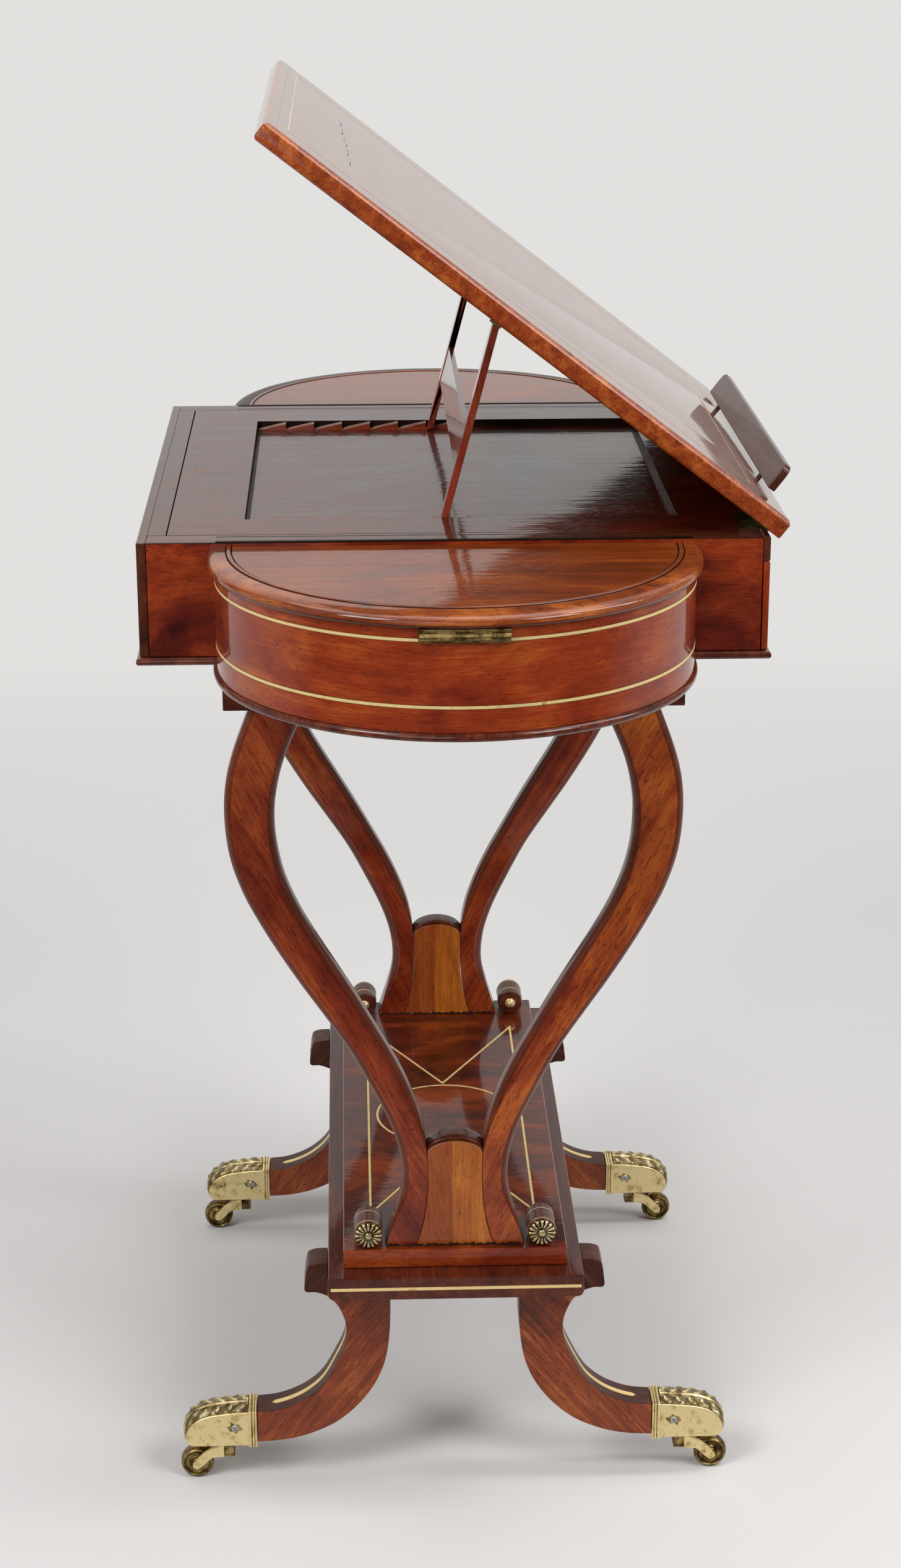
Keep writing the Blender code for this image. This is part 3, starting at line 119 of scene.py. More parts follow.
def ranged(tree, value, low, high, at_low, at_high):
    """A value between two limits, turned into another range."""
    return node(tree, "MapRange", {"Value": value, "From Min": low, "From Max": high,
                                   "To Min": at_low, "To Max": at_high})


def bumped(tree, height, strength, depth, below=None, **settings):
    """Relief from a height, on top of the relief below it."""
    made = node(tree, "Bump", {"Height": height, "Strength": strength, "Distance": depth}, **settings)
    if below:
        tree.links.new(below, made.node.inputs["Normal"])
    return made


def blended(tree, share, first, second):
    return node(tree, "Mix", {"Factor": share, "A": first, "B": second})


def tinted(tree, share, first, second):
    return node(tree, "MixRGB", {"Fac": share, "Color1": first, "Color2": second})


def worked(tree, operation, *values):
    return node(tree, "Math", dict(enumerate(values)), operation=operation)


def started(name):
    """A new material, its tree and its shader."""
    material = bpy.data.materials.new(name)
    material.use_nodes = True
    return material, material.node_tree, material.node_tree.nodes["Principled BSDF"]


def mahogany(name, deep, middle, light, figure=0.3, spread=0.13, polish=0.05, gloss=1.0, pore=0.5,
             drift=0.006, ripple=0.05):
    """French-polished mahogany: long streaks, broad clouds, fine fibre lines and dark pores under a film."""
    material, tree, shader = started(name)
    fibre = node(tree, "Attribute", {}, "Vector", attribute_name="grain")
    # The fibres wander a few millimetres in every 110 mm
    wander = node(tree, "TexNoise", {"Vector": fibre, "Scale": 9, "Detail": 2}, "Color")
    aside = node(tree, "VectorMath", {0: wander, 1: (0.5, 0.5, 0.5)}, operation="SUBTRACT")
    small = node(tree, "VectorMath", {0: aside, "Scale": drift * 2}, operation="SCALE")
    bent = node(tree, "VectorMath", {0: fibre, 1: small})
    # Growth streaks 8 mm wide and 200 mm long, and narrow ones 1.8 mm wide and 60 mm long
    growth = noise(tree, bent, (5, 120, 120), 3, 0.6)
    streaks = noise(tree, bent, (16, 560, 560), 3, 0.6)
    # Clouds of figure 60 mm long and 35 mm wide
    clouds = noise(tree, bent, (16, 28, 28), 4, 0.6, Distortion=0.6)
    mixed = blended(tree, figure, blended(tree, 0.45, growth, streaks), clouds)
    tone = node(tree, "ValToRGB", {"Fac": mixed},
                stops=[(0.5 - spread, deep), (0.5, middle), (0.5 + spread, light)])
    # Fibre lines 0.6 mm wide, and pores: dashes 6 mm by 0.7 mm, coarser than the real 2 mm by
    # 0.2 mm so that they show
    hair = ranged(tree, noise(tree, bent, (60, 1700, 1700), 2, 0.6), 0.3, 0.6, 0.5, 0)
    pits = ranged(tree, noise(tree, fibre, (170, 1400, 1400), 1), 0.6, 0.72, 0, pore)
    # A few dark knocks 2 mm across
    knocks = ranged(tree, noise(tree, fibre, 210, 2, 0.7), 0.71, 0.75, 0, 0.8)
    marks = worked(tree, "MAXIMUM", pits, knocks)
    colour = tinted(tree, marks, tinted(tree, hair, tone, linear(deep)), linear("180803"))
    # The polish is not quite level: waves 30 mm long, ripples along the fibres, and pores that sink
    level = bumped(tree, noise(tree, fibre, 33, 2), 0.03, 0.004)
    rippled = bumped(tree, growth, ripple, 0.0015, level)
    sunk = bumped(tree, marks, 0.08, 0.0003, rippled, invert=True)
    plugged(tree, shader, {
        "Base Color": colour, "Normal": sunk, "Coat Normal": sunk,
        "Roughness": ranged(tree, clouds, 0.3, 0.7, 0.38, 0.52),
        "Specular IOR Level": 0.12 * min(1, gloss * 2),
        "Coat Weight": gloss, "Coat Roughness": polish, "Coat IOR": 1.42})
    return material


def brass(name, bright, dull, dark, rough=0.3, tarnish=0.5, metal=1.0):
    """Brass with the brown film of age: bright where it is worn, dark in patches and in every crevice."""
    material, tree, shader = started(name)
    place = node(tree, "TexCoord", {}, "Object")
    hollow = node(tree, "Attribute", {}, "Fac", attribute_name="crevice")
    # Stains 8 mm across, specks under 1 mm, and upright filing scratches 0.6 mm apart
    stain = noise(tree, place, 120, 4, 0.6)
    fine = blended(tree, 0.5, noise(tree, place, 1300, 3, 0.7), noise(tree, place, (1700, 1700, 160), 2))
    both = blended(tree, 0.3, stain, fine)
    tone = node(tree, "ValToRGB", {"Fac": both},
                stops=[(0.3 + 0.08 * tarnish, dark), (0.34 + 0.16 * tarnish, dull),
                       (0.4 + 0.24 * tarnish, bright)])
    plugged(tree, shader, {
        "Base Color": tinted(tree, hollow, tone, linear("1c1408")),
        "Roughness": ranged(tree, both, 0.35, 0.62, rough + 0.22, rough),
        "Metallic": metal, "Normal": bumped(tree, fine, 0.25, 0.0002)})
    return material


END_PANEL = mahogany("flame_mahogany_end_panels", "3c0802", "6a1c05", "96380c", figure=0.8, drift=0.02)
APRON_WOOD = mahogany("bent_mahogany_veneer", "641a06", "8c320c", "ac561a", figure=0.6, spread=0.15)
LID_WOOD = mahogany("solid_mahogany_lids", "4e1e06", "74300c", "924a16", figure=0.5, spread=0.15, gloss=0.85)
RIM_WOOD = mahogany("thumb_moulded_lid_rim", "52200c", "823c14", "b06628", figure=0.45, gloss=0.9)
FAR_LID_RIM_SHADE = mahogany("far_lid_rim_painted_shade", "160804", "280f06", "3c1a0c", figure=0.4, gloss=0.35)
TOP_WOOD = mahogany("dark_top_mahogany", "340c05", "541808", "702810", figure=0.6, spread=0.16,
                    polish=0.03, gloss=0.85, ripple=0.13)
FRAME_WOOD = mahogany("dark_border_mahogany", "30120a", "4c200e", "643018", figure=0.4, gloss=0.85)
# Pale wood: painted reflection on the ratchets' ramps, painted highlight on the stems' arches, and wear round
# the locking pin
SHEEN_AND_WEAR_WOOD = mahogany("painted_sheen_and_wear_mahogany", "745244", "967264", "ae8a7a", gloss=0.2)
SLOPE_EDGE = mahogany("sunlit_slope_edge", "561a07", "8e3b10", "ba6626", figure=0.35, spread=0.15,
                      pore=0.6, ripple=0)
SLOPE_FACE = mahogany("faded_slope_face", "603c2c", "764a38", "8a5842", figure=0.4, polish=0.06,
                      pore=0.05, ripple=0.01)
# The slope's underside is painted dark, as painted shade
SLOPE_BACK = mahogany("slope_back_painted_shade", "160603", "280b05", "3a140a", figure=0.5, gloss=0)
FACE_LINE = mahogany("pale_slope_line", "b48a60", "c8a074", "dcb88c", figure=0.2)
LEDGE_WOOD = mahogany("brown_ledge_mahogany", "341810", "482218", "603226", spread=0.18, gloss=0.55)
PROP_WOOD = mahogany("red_prop_mahogany", "642012", "88341c", "a44a28")
STAND_WOOD = mahogany("sawn_stand_mahogany", "501204", "7c2c0e", "a04a1c", figure=0.5, spread=0.14, pore=0.8)
# A lighter copy of the stand's wood: painted light on the near right branch
LIT_BRANCH_WOOD = mahogany("branch_mahogany_painted_light", "681e08", "984414", "ba661e", figure=0.5, spread=0.14,
                      pore=0.8)
RIM_SHADE_AND_DIRT = mahogany("branch_rims_painted_shade_and_grime", "401608", "60260e", "7c381a", spread=0.18, gloss=0.6)
LEG_WOOD = mahogany("sawn_leg_mahogany", "4a1406", "843810", "b26028", figure=0.4, pore=0.8, gloss=0.8)
EDGE_WOOD = mahogany("dark_stand_edges", "301208", "462012", "603422", polish=0.2, gloss=0.35)
STEM_WOOD = mahogany("faded_stem_mahogany", "7e3c0e", "a85c1a", "c68030", figure=0.45, spread=0.16,
                     polish=0.12)
STEM_BROWN = mahogany("brown_stem_mahogany", "622408", "8c4216", "a65c20", figure=0.45, spread=0.16,
                      polish=0.12)
PLINTH_WOOD = mahogany("cuban_plinth_veneer", "2c0a02", "561c06", "86380f", figure=0.8, spread=0.14,
                       drift=0.02, gloss=0.8)
PLINTH_END = mahogany("flamed_plinth_end", "4c1204", "7e2a0a", "a04616", figure=0.5, drift=0.012)
BASE_WOOD = mahogany("plinth_border_mahogany", "300f09", "501e0e", "703218", figure=0.4, gloss=0.8)
# Also used below the lids' rims, as painted shade with some grime
BEAD_WOOD = mahogany("beaded_edge_and_rim_shade_mahogany", "300f06", "58200e", "7c3a1c")
# Ebonised beech, also used as painted shade in the lids' grooves, on the case's top arrises, on the well's
# walls and in the gap where the lids meet the case
DARK_WOOD = mahogany("beech_ebonised_and_painted_shade", "140a06", "20110b", "2e1a10", figure=0.2, gloss=0.15)
BOLSTER_WOOD = mahogany("dark_turned_bolsters", "30110a", "4c1f10", "6a341c", gloss=0.5)
DARK_FILLET_WOOD = mahogany("dark_fillet_mahogany", "2e2018", "463628", "5c4a38", gloss=0.1)
STRING_BRASS = brass("drawn_brass_string", "f2d696", "dcb870", "946c38", rough=0.42, tarnish=0.12, metal=0.55)
CAST_BRASS = brass("aged_cast_brass", "f2dea6", "d2b97e", "78603a", rough=0.34, tarnish=0.34)
LEAF_BRASS = brass("leaf_cast_brass", "f0dca8", "b89e68", "54422a", rough=0.28, tarnish=0.55)
HINGE_BRASS = brass("worn_hinge_brass", "d8bc80", "8c7444", "382a18", rough=0.32, tarnish=0.75)
DARK_BRASS = brass("bronzed_castor_brass", "b09a66", "6c5836", "2a2014", tarnish=0.8)
STEEL = brass("filed_steel_screw", "b4b4b0", "8c8a84", "4a4842", rough=0.35, tarnish=0.3)


# Shaping

def parts(whole, count):
    """A whole cut into equal parts: the marks from 0 to its end."""
    return [whole * step / count for step in range(count + 1)]


def held(value):
    """A value kept from 0 to 1."""
    return min(1, max(0, value))


def smooth(points, steps=5):
    """Smooth curve through the points, with the given steps between neighbours."""
    spots = [Vector(point) for point in points]
    spots = [2 * spots[0] - spots[1], *spots, 2 * spots[-1] - spots[-2]]
    made = []
    for before, start, end, after in zip(spots, spots[1:], spots[2:], spots[3:]):
        leave, arrive = (end - before) / 2, (after - start) / 2
        for t in parts(1, steps)[:-1]:
            made.append(start * (1 - t) ** 2 * (1 + 2 * t) + end * t ** 2 * (3 - 2 * t)
                        + leave * t * (1 - t) ** 2 - arrive * t ** 2 * (1 - t))
    return [*made, spots[-2]]


def spaced(spots, count):
    """The same curve with evenly spaced points."""
    run = [0]
    for start, end in zip(spots, spots[1:]):
        run.append(run[-1] + (end - start).length)
    made = []
    index = 0
    for want in parts(run[-1], count - 1):
        while index < len(run) - 2 and run[index + 1] < want:
            index += 1
        share = (want - run[index]) / (run[index + 1] - run[index])
        made.append(spots[index].lerp(spots[index + 1], share))
    return made


def arc(radius, start, end, steps, middle=(0, 0)):
    return [Vector((middle[0] + radius * math.cos(start + a), middle[1] + radius * math.sin(start + a)))
            for a in parts(end - start, steps)]


def heading(path, index):
    """The way a path runs at one of its points."""
    return path[min(index + 1, len(path) - 1)] - path[max(index - 1, 0)]


def drawn(draw, *shape, **how):
    """A new shape, drawn by one of the functions below."""
    bm = bmesh.new()
    draw(bm, *shape, **how)
    return bm


def joined_to(bm, part):
    """Add one drawn shape to another."""
    mesh = bpy.data.meshes.new("part")
    part.to_mesh(mesh)
    bm.from_mesh(mesh)


def lofted(bm, sections, ring=True, crevices=None):
    """Skin a row of sections with equal counts: each one is an extrusion of the one before it."""
    grime = bm.verts.layers.float.get("crevice") or bm.verts.layers.float.new("crevice")
    crevices = crevices or [[0] * len(section) for section in sections]
    row = first = [bm.verts.new(point) for point in sections[0]]
    for vert, dark in zip(row, crevices[0]):
        vert[grime] = dark
    pairs = list(zip(row, row[1:])) + ([(row[-1], row[0])] if ring else [])
    edges = [bm.edges.new(pair) for pair in pairs]
    if ring:
        bm.faces.new(row)
    for section, darks in zip(sections[1:], crevices[1:]):
        order = {vert.co.to_tuple(): index for index, vert in enumerate(row)}
        new = bmesh.ops.extrude_edge_only(bm, edges=edges)["geom"]
        verts = [item for item in new if isinstance(item, bmesh.types.BMVert)]
        row = sorted(verts, key=lambda vert: order[vert.co.to_tuple()])
        fresh = set(verts)
        edges = [item for item in new if isinstance(item, bmesh.types.BMEdge) and fresh.issuperset(item.verts)]
        for vert, point, dark in zip(row, section, darks):
            vert.co, vert[grime] = point, dark
    if ring:
        bm.faces.new(row[::-1])
    bmesh.ops.recalc_face_normals(bm, faces=bm.faces)
    return first, row


def slab(bm, outline, low, high):
    """Flat outline in X and Y, raised from one level to another."""
    face = bm.faces.new([bm.verts.new((x, y, low)) for x, y in outline])
    top = bmesh.ops.extrude_face_region(bm, geom=[face])["geom"]
    verts = [item for item in top if isinstance(item, bmesh.types.BMVert)]
    bmesh.ops.translate(bm, verts=verts, vec=(0, 0, high - low))
    bmesh.ops.recalc_face_normals(bm, faces=bm.faces)


def sawn(outline, thick, y=0):
    """Board sawn to an outline in X and Z, its thickness along Y."""
    bm = drawn(slab, outline, -y - thick / 2, -y + thick / 2)
    bmesh.ops.transform(bm, matrix=UPRIGHT, verts=bm.verts)
    return bm


def block(bm, corner, other):
    """Square block between two of its corners."""
    corner, other = Vector(corner), Vector(other)
    size = [abs(way) for way in other - corner]
    bmesh.ops.create_cube(bm, size=1, matrix=Matrix.Translation((other + corner) / 2)
                          @ Matrix.Diagonal((*size, 1)))


def turned(bm, profile, steps=40, place=HERE, ring=False):
    """Profile points (radius, height), spun about Z and then placed."""
    verts = [bm.verts.new((radius, 0, height)) for radius, height in profile]
    edges = [bm.edges.new(pair) for pair in zip(verts, verts[1:])]
    if ring:
        edges.append(bm.edges.new((verts[-1], verts[0])))
    bmesh.ops.spin(bm, geom=verts + edges, cent=(0, 0, 0), axis=(0, 0, 1), angle=2 * math.pi,
                   steps=steps, use_merge=True)
    faces = {face for vert in verts for face in vert.link_faces}
    grown = set(faces)
    while grown:
        grown = {near for face in grown for edge in face.edges for near in edge.link_faces} - faces
        faces |= grown
    spots = list({vert for face in faces for vert in face.verts})
    bmesh.ops.transform(bm, matrix=place, verts=spots)
    bmesh.ops.remove_doubles(bm, verts=spots, dist=0.000001)
    bmesh.ops.recalc_face_normals(bm, faces=[face for face in faces if face.is_valid])


def facing(spot, sign):
    """Place of a turned shape whose top faces along Y, to the side of the given sign."""
    return Matrix.Translation(spot) @ Matrix.Rotation(-sign * math.pi / 2, 4, "X")


def eased(bm, width, segments=2, turn=32, which=None):
    """Round over the edges that turn by more than so many degrees, or those of them that a test picks."""
    bm.normal_update()
    edges = [edge for edge in bm.edges if len(edge.link_faces) == 2
             and edge.calc_face_angle(0) > math.radians(turn) and (which is None or which(edge))]
    bmesh.ops.bevel(bm, geom=edges, offset=width, segments=segments, profile=0.5, affect="EDGES",
                    material=-1, clamp_overlap=True)


def cut(bm, spot, out, **cleared):
    """Cut a shape along a plane, and where one side is cleared away, close it again."""
    bmesh.ops.bisect_plane(bm, geom=bm.verts[:] + bm.edges[:] + bm.faces[:], plane_co=spot, plane_no=out,
                           **cleared)
    if cleared:
        bmesh.ops.holes_fill(bm, edges=[edge for edge in bm.edges if edge.is_boundary])


def merged(bm):
    """Make one face of each flat that the CAD mesh has in triangles."""
    bmesh.ops.dissolve_limit(bm, angle_limit=0.004, verts=bm.verts, edges=bm.edges)


def copied(name):
    """A CAD node's shape as whole faces, drawn about the stand's middle."""
    bm = bmesh.new()
    bm.from_mesh(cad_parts[name].data)
    bmesh.ops.remove_doubles(bm, verts=bm.verts, dist=0.00001)
    merged(bm)
    bmesh.ops.translate(bm, verts=bm.verts, vec=(-MID, 0, 0))
    return bm


def painted(bm, finish_of):
    """Choose each face's finish by a test of the face."""
    bm.normal_update()
    for face in bm.faces:
        face.material_index = finish_of(face)


def along_x(co):
    return co


def along_y(co):
    return Vector((co.y, co.x, co.z))


def along_z(co):
    return Vector((co.z, co.x, co.y))


def round_the_end(co):
    """Fibres that run round a far end's apron."""
    turn = math.atan2(co.y - END_MIDDLE_Y, co.x)
    return Vector((turn * END_RADIUS, co.z, co.length * 0.1))


PIECES = []


def piece(bm, name, finish, body, slot, stands_for=None, at=HERE, grain=along_x, soft=32):
    """Finish a drawn shape as one named piece that rides on a body."""
    mesh = bpy.data.meshes.new(name)
    bm.to_mesh(mesh)
    fibres = mesh.attributes.new("grain", "FLOAT_VECTOR", "POINT")
    start = Vector((0.731, 0.377, 0.519)) * len(PIECES)
    for vert, fibre in zip(mesh.vertices, fibres.data):
        fibre.vector = grain(vert.co) + start
    mesh.transform(Matrix.Translation((MID, 0, 0)) @ at)
    mesh.shade_smooth()
    mesh.set_sharp_from_angle(angle=math.radians(soft))
    for wood in finish if isinstance(finish, list) else [finish]:
        mesh.materials.append(wood)
    obj = bpy.data.objects.new(name, mesh)
    bpy.context.scene.collection.objects.link(obj)
    obj.modifiers.new("level", "WEIGHTED_NORMAL").keep_sharp = True
    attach(obj, body)
    if stands_for:
        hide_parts(stands_for)
    PIECES.append(obj)


def dressed(source, name, finish, body, slot, width=0, segments=2, turn=32, which=None, paint=None,
            **how):
    """A CAD node's own shape as a piece that stands for it, with its edges eased and its faces painted."""
    bm = copied(source)
    if width:
        eased(bm, width, segments, turn, which)
    if paint:
        painted(bm, paint)
    piece(bm, name, finish, body, slot, source, **how)


def mirrored(sign):
    """Turns a shape drawn for the far end or the right side to the other one."""
    return HERE if sign > 0 else HALF_TURN


def corners(y, z=0):
    """Each corner's name, its two signs, and the place there of a shape drawn for the right side."""
    for end, end_sign in ENDS.items():
        for side, side_sign in SIDES.items():
            at = Matrix.Translation((0, end_sign * y, z)) @ mirrored(side_sign)
            yield f"{end}_{side}", end_sign, side_sign, at


# Case

def span(edge, axis):
    """How far an edge reaches along an axis."""
    start, end = edge.verts
    return abs(start.co[axis] - end.co[axis])


def case():
    # The end walls' top arrises are painted dark, as a painted shadow line
    for end in ENDS:
        dressed(f"end_wall_{end}", f"end_panel_{end}", [END_PANEL, FRAME_WOOD, DARK_WOOD], "table",
                "end_mahogany", 0.0009, which=lambda edge: span(edge, 0) > 0.01,
                paint=lambda face: 1 if face.normal.z > 0.9 else 2 if face.normal.z > 0.2 else 0)
    # The left wall's fascia and its border look like one board from above
    seam = -CASE_HALF_X + 0.0065
    dressed("side_fascia_left", "dressed_side_fascia_left", FRAME_WOOD, "table", "case_mahogany", 0.0008,
            which=lambda edge: max(vert.co.x for vert in edge.verts) < seam - 0.001, grain=along_y)
    bm = copied("side_rail_left")
    for vert in bm.verts:
        if vert.co.x < seam + 0.001:
            vert.co.x = seam
    eased(bm, 0.0005, which=lambda edge: min(vert.co.x for vert in edge.verts) > seam + 0.001)
    piece(bm, "dressed_side_rail_left", FRAME_WOOD, "table", "top_mahogany", "side_rail_left", grain=along_y)
    dressed("side_fascia_right", "dressed_side_fascia_right", APRON_WOOD, "table", "case_mahogany", 0.0005,
            grain=along_y)
    for end in ENDS:
        dressed(f"bearer_{end}", f"dressed_bearer_{end}", BASE_WOOD, "table", "case_mahogany", 0.0008)


def joint_and_gap_shadow_lines():
    """Dark joint lines round the panel's ends, and a painted shadow, with some grime, in the gap where the lids
    meet the case.
    """
    half = 0.1605
    for end, sign in ENDS.items():
        bm = bmesh.new()
        for near_y, far_y, rise in ((0.2134, 0.2148, 0.00006), (0.2262, 0.2292, 0.0004)):
            block(bm, (-half, sign * near_y, CASE_TOP_Z - 0.0004), (half, sign * far_y, CASE_TOP_Z + rise))
        piece(bm, f"joint_and_gap_shadow_lines_{end}", DARK_WOOD, "table", "ebonised_wood")


def bottom_board():
    """Board with a beaded edge, a little wider than the case and its round ends."""
    proud = 0.0025
    x, y, radius = CASE_HALF_X + proud, CASE_HALF_Y + proud, END_RADIUS + proud
    half = [Vector((x, y)), Vector((radius, y)), *arc(radius, 0, math.pi, 64, (0, END_MIDDLE_Y)),
            Vector((-radius, y)), Vector((-x, y))]
    bm = drawn(slab, half + [-spot for spot in half], BOARD_BASE_Z, WALL_BASE_Z - GAP)
    eased(bm, 0.0026, 4, which=lambda edge: span(edge, 2) < 0.0001)
    piece(bm, "beaded_bottom_board", BEAD_WOOD, "table", "ebonised_wood", "bottom_board", grain=along_y)


# Round ends

def stations(extra=()):
    """Angles round the far end. The first and last are on the straight, and their y comes with them."""
    turns = sorted([*parts(math.pi, 72), *extra])
    return [(0, ROUND_START_Y), *[(turn, None) for turn in turns], (math.pi, ROUND_START_Y)]


def round_spot(radius, turn, middle_y, z):
    return Vector((radius * math.cos(turn), middle_y + radius * math.sin(turn), z))


def aprons():
    """Bent aprons, with a notch in the middle for the hinge."""
    roof, heel, seat = LID_AXIS_Z + 0.0025, LEAF_LOW_Z - GAP, LID_AXIS_Y - 0.0061
    low, high = WALL_BASE_Z, APRON_TOP_Z
    hair = 0.00001
    notch = [turn + aside for turn in (HINGE_TURN, math.pi - HINGE_TURN) for aside in (-hair, hair)]
    sections = []
    for turn, start_y in stations(notch):
        middle_y = start_y or END_MIDDLE_Y
        spots = [round_spot(END_RADIUS, turn, middle_y, z) for z in (low, heel, (heel + roof) / 2, high)]
        top = high
        if HINGE_TURN < turn < math.pi - HINGE_TURN:
            top = roof
            spots[2:] = [Vector((spots[1].x, seat, z)) for z in (heel, roof)]
        spots += [round_spot(END_RADIUS - APRON_THICK, turn, middle_y, z) for z in (top, low)]
        sections.append(spots)
    for end, sign in ENDS.items():
        bm = drawn(lofted, sections)
        eased(bm, 0.0004, which=lambda edge: abs(edge.verts[0].co.z - high) < 0.00002)
        piece(bm, f"bent_apron_{end}", APRON_WOOD, "table", "end_mahogany", f"apron_{end}",
              at=mirrored(sign), grain=round_the_end)


def apron_lines():
    """Two brass lines let into each apron, each between hairlines of dark wood."""
    beside_hinge = [(0, HINGE_TURN), (math.pi - HINGE_TURN, math.pi)]
    layers = (("bed", 0.0013, 0.00004, DARK_WOOD, "ebonised_wood"),
              ("string", 0.001, 0.00014, STRING_BRASS, "brass_stringing"))
    back = END_RADIUS - 0.0006
    for end, sign in ENDS.items():
        for name, level, spans, steps in (("low", 0.6719, [(0, math.pi)], 72),
                                          ("high", 0.7152, beside_hinge, 34)):
            for layer, half, proud, finish, slot in layers:
                front = END_RADIUS + proud
                bm = bmesh.new()
                for start, stop in spans:
                    turns = [(start + turn, END_MIDDLE_Y) for turn in parts(stop - start, steps)]
                    if start == 0:
                        turns.insert(0, (0, ROUND_START_Y))
                    if stop == math.pi:
                        turns.append((math.pi, ROUND_START_Y))
                    lofted(bm, [[round_spot(radius, turn, y, level + up) for radius, up in (
                        (back, -half), (front, -half), (front, half), (back, half))] for turn, y in turns])
                piece(bm, f"apron_{layer}_{name}_{end}", finish, "table", slot, at=mirrored(sign))


def from_bead(co):
    """How far a spot of the far lid lies outside the bead."""
    return math.hypot(co.x, max(co.y - BEAD_MIDDLE_Y, 0)) - BEAD_RADIUS


def lid_grain(co):
    return round_the_end(co) if from_bead(co) > 0.0005 else co


def lids():
    """Lid with an inlaid bead between two grooves, and a thumb moulding outside it."""
    edge_high, edge_wide, thumb = 0.0024, 0.0022, 0.62
    top, bottom, waist = LID_TOP_Z, LID_BASE_Z, LID_BASE_Z + edge_high
    outside = BEAD_RADIUS + 0.0009
    bead = [(0.0001, -0.0009), (0.0008, -0.0009), (0.0009, 0.0002), (0.0014, 0.0006), (0.0024, 0.0007),
            (0.0034, 0.0006), (0.0039, 0.0002), (0.004, -0.0009), (0.0047, -0.0009), (0.0048, 0)]
    chains = []
    for turn, start_y in stations():
        outer_y, bead_y = start_y or END_MIDDLE_Y, start_y or BEAD_MIDDLE_Y
        rim, groove = round_spot(LID_RADIUS, turn, outer_y, 0), round_spot(outside, turn, bead_y, 0)
        width, inward = (groove - rim).length, (groove - rim).normalized()
        chain = [round_spot(LID_RADIUS - 0.014, turn, outer_y, bottom)]
        for swing in parts(math.pi / 2, 3):
            chain.append(rim + inward * edge_wide * (1 - math.sin(swing))
                         + Vector((0, 0, waist - edge_high * math.cos(swing))))
        for swing in parts(math.pi / 2, 10)[1:]:
            chain.append(rim + inward * width * (1 - math.cos(swing) ** thumb)
                         + Vector((0, 0, waist + (top - 0.0002 - waist) * math.sin(swing) ** thumb)))
        chain += [round_spot(outside - back, turn, bead_y, top + rise) for back, rise in bead]
        chains.append(chain)

    def finish_of(face):
        spot = face.calc_center_median()
        out = from_bead(spot)
        if len(face.verts) > 8:
            return 0
        if out > 0.0007:
            # Below the thumb's waist the rim takes the bead wood: painted shade with some grime
            return 1 if spot.z > waist + 0.0001 else 3
        # The grooves round the bead are painted dark, as painted shade
        return 2 if out > -0.0055 and spot.z < top - 0.0001 else 0

    for end, sign in ENDS.items():
        bm = bmesh.new()
        first, last = lofted(bm, chains, ring=False)
        for level in (top, bottom):
            ring = [vert for vert in bm.verts if vert.is_boundary and abs(vert.co.z - level) < 0.00001
                    and math.hypot(vert.co.x, max(vert.co.y - END_MIDDLE_Y, 0)) < LID_RADIUS - 0.013]
            bm.faces.new(sorted(ring, key=lambda vert: math.atan2(vert.co.y - ROUND_START_Y, vert.co.x)))
        bm.faces.new([*first, *last[::-1]])
        bmesh.ops.recalc_face_normals(bm, faces=bm.faces)
        painted(bm, finish_of)
        # The far lid's rim takes a darker copy of the rim wood, as painted shade
        woods = [LID_WOOD, RIM_WOOD if end == "near" else FAR_LID_RIM_SHADE, DARK_WOOD, BEAD_WOOD]
        piece(bm, f"moulded_lid_{end}", woods, f"{end}_lid", "end_mahogany", f"lid_{end}",
              at=mirrored(sign), grain=lid_grain, soft=50)


# Sliding top and slope

# The well's walls are painted dark, as painted shade in the recess
def well_wall(face):
    spot = face.calc_center_median()
    inside = WELL_LEFT_X - 0.001 < spot.x < WELL_RIGHT_X + 0.001 and abs(spot.y) < WELL_HALF_Y + 0.001
    return int(inside and abs(face.normal.z) < 0.5)


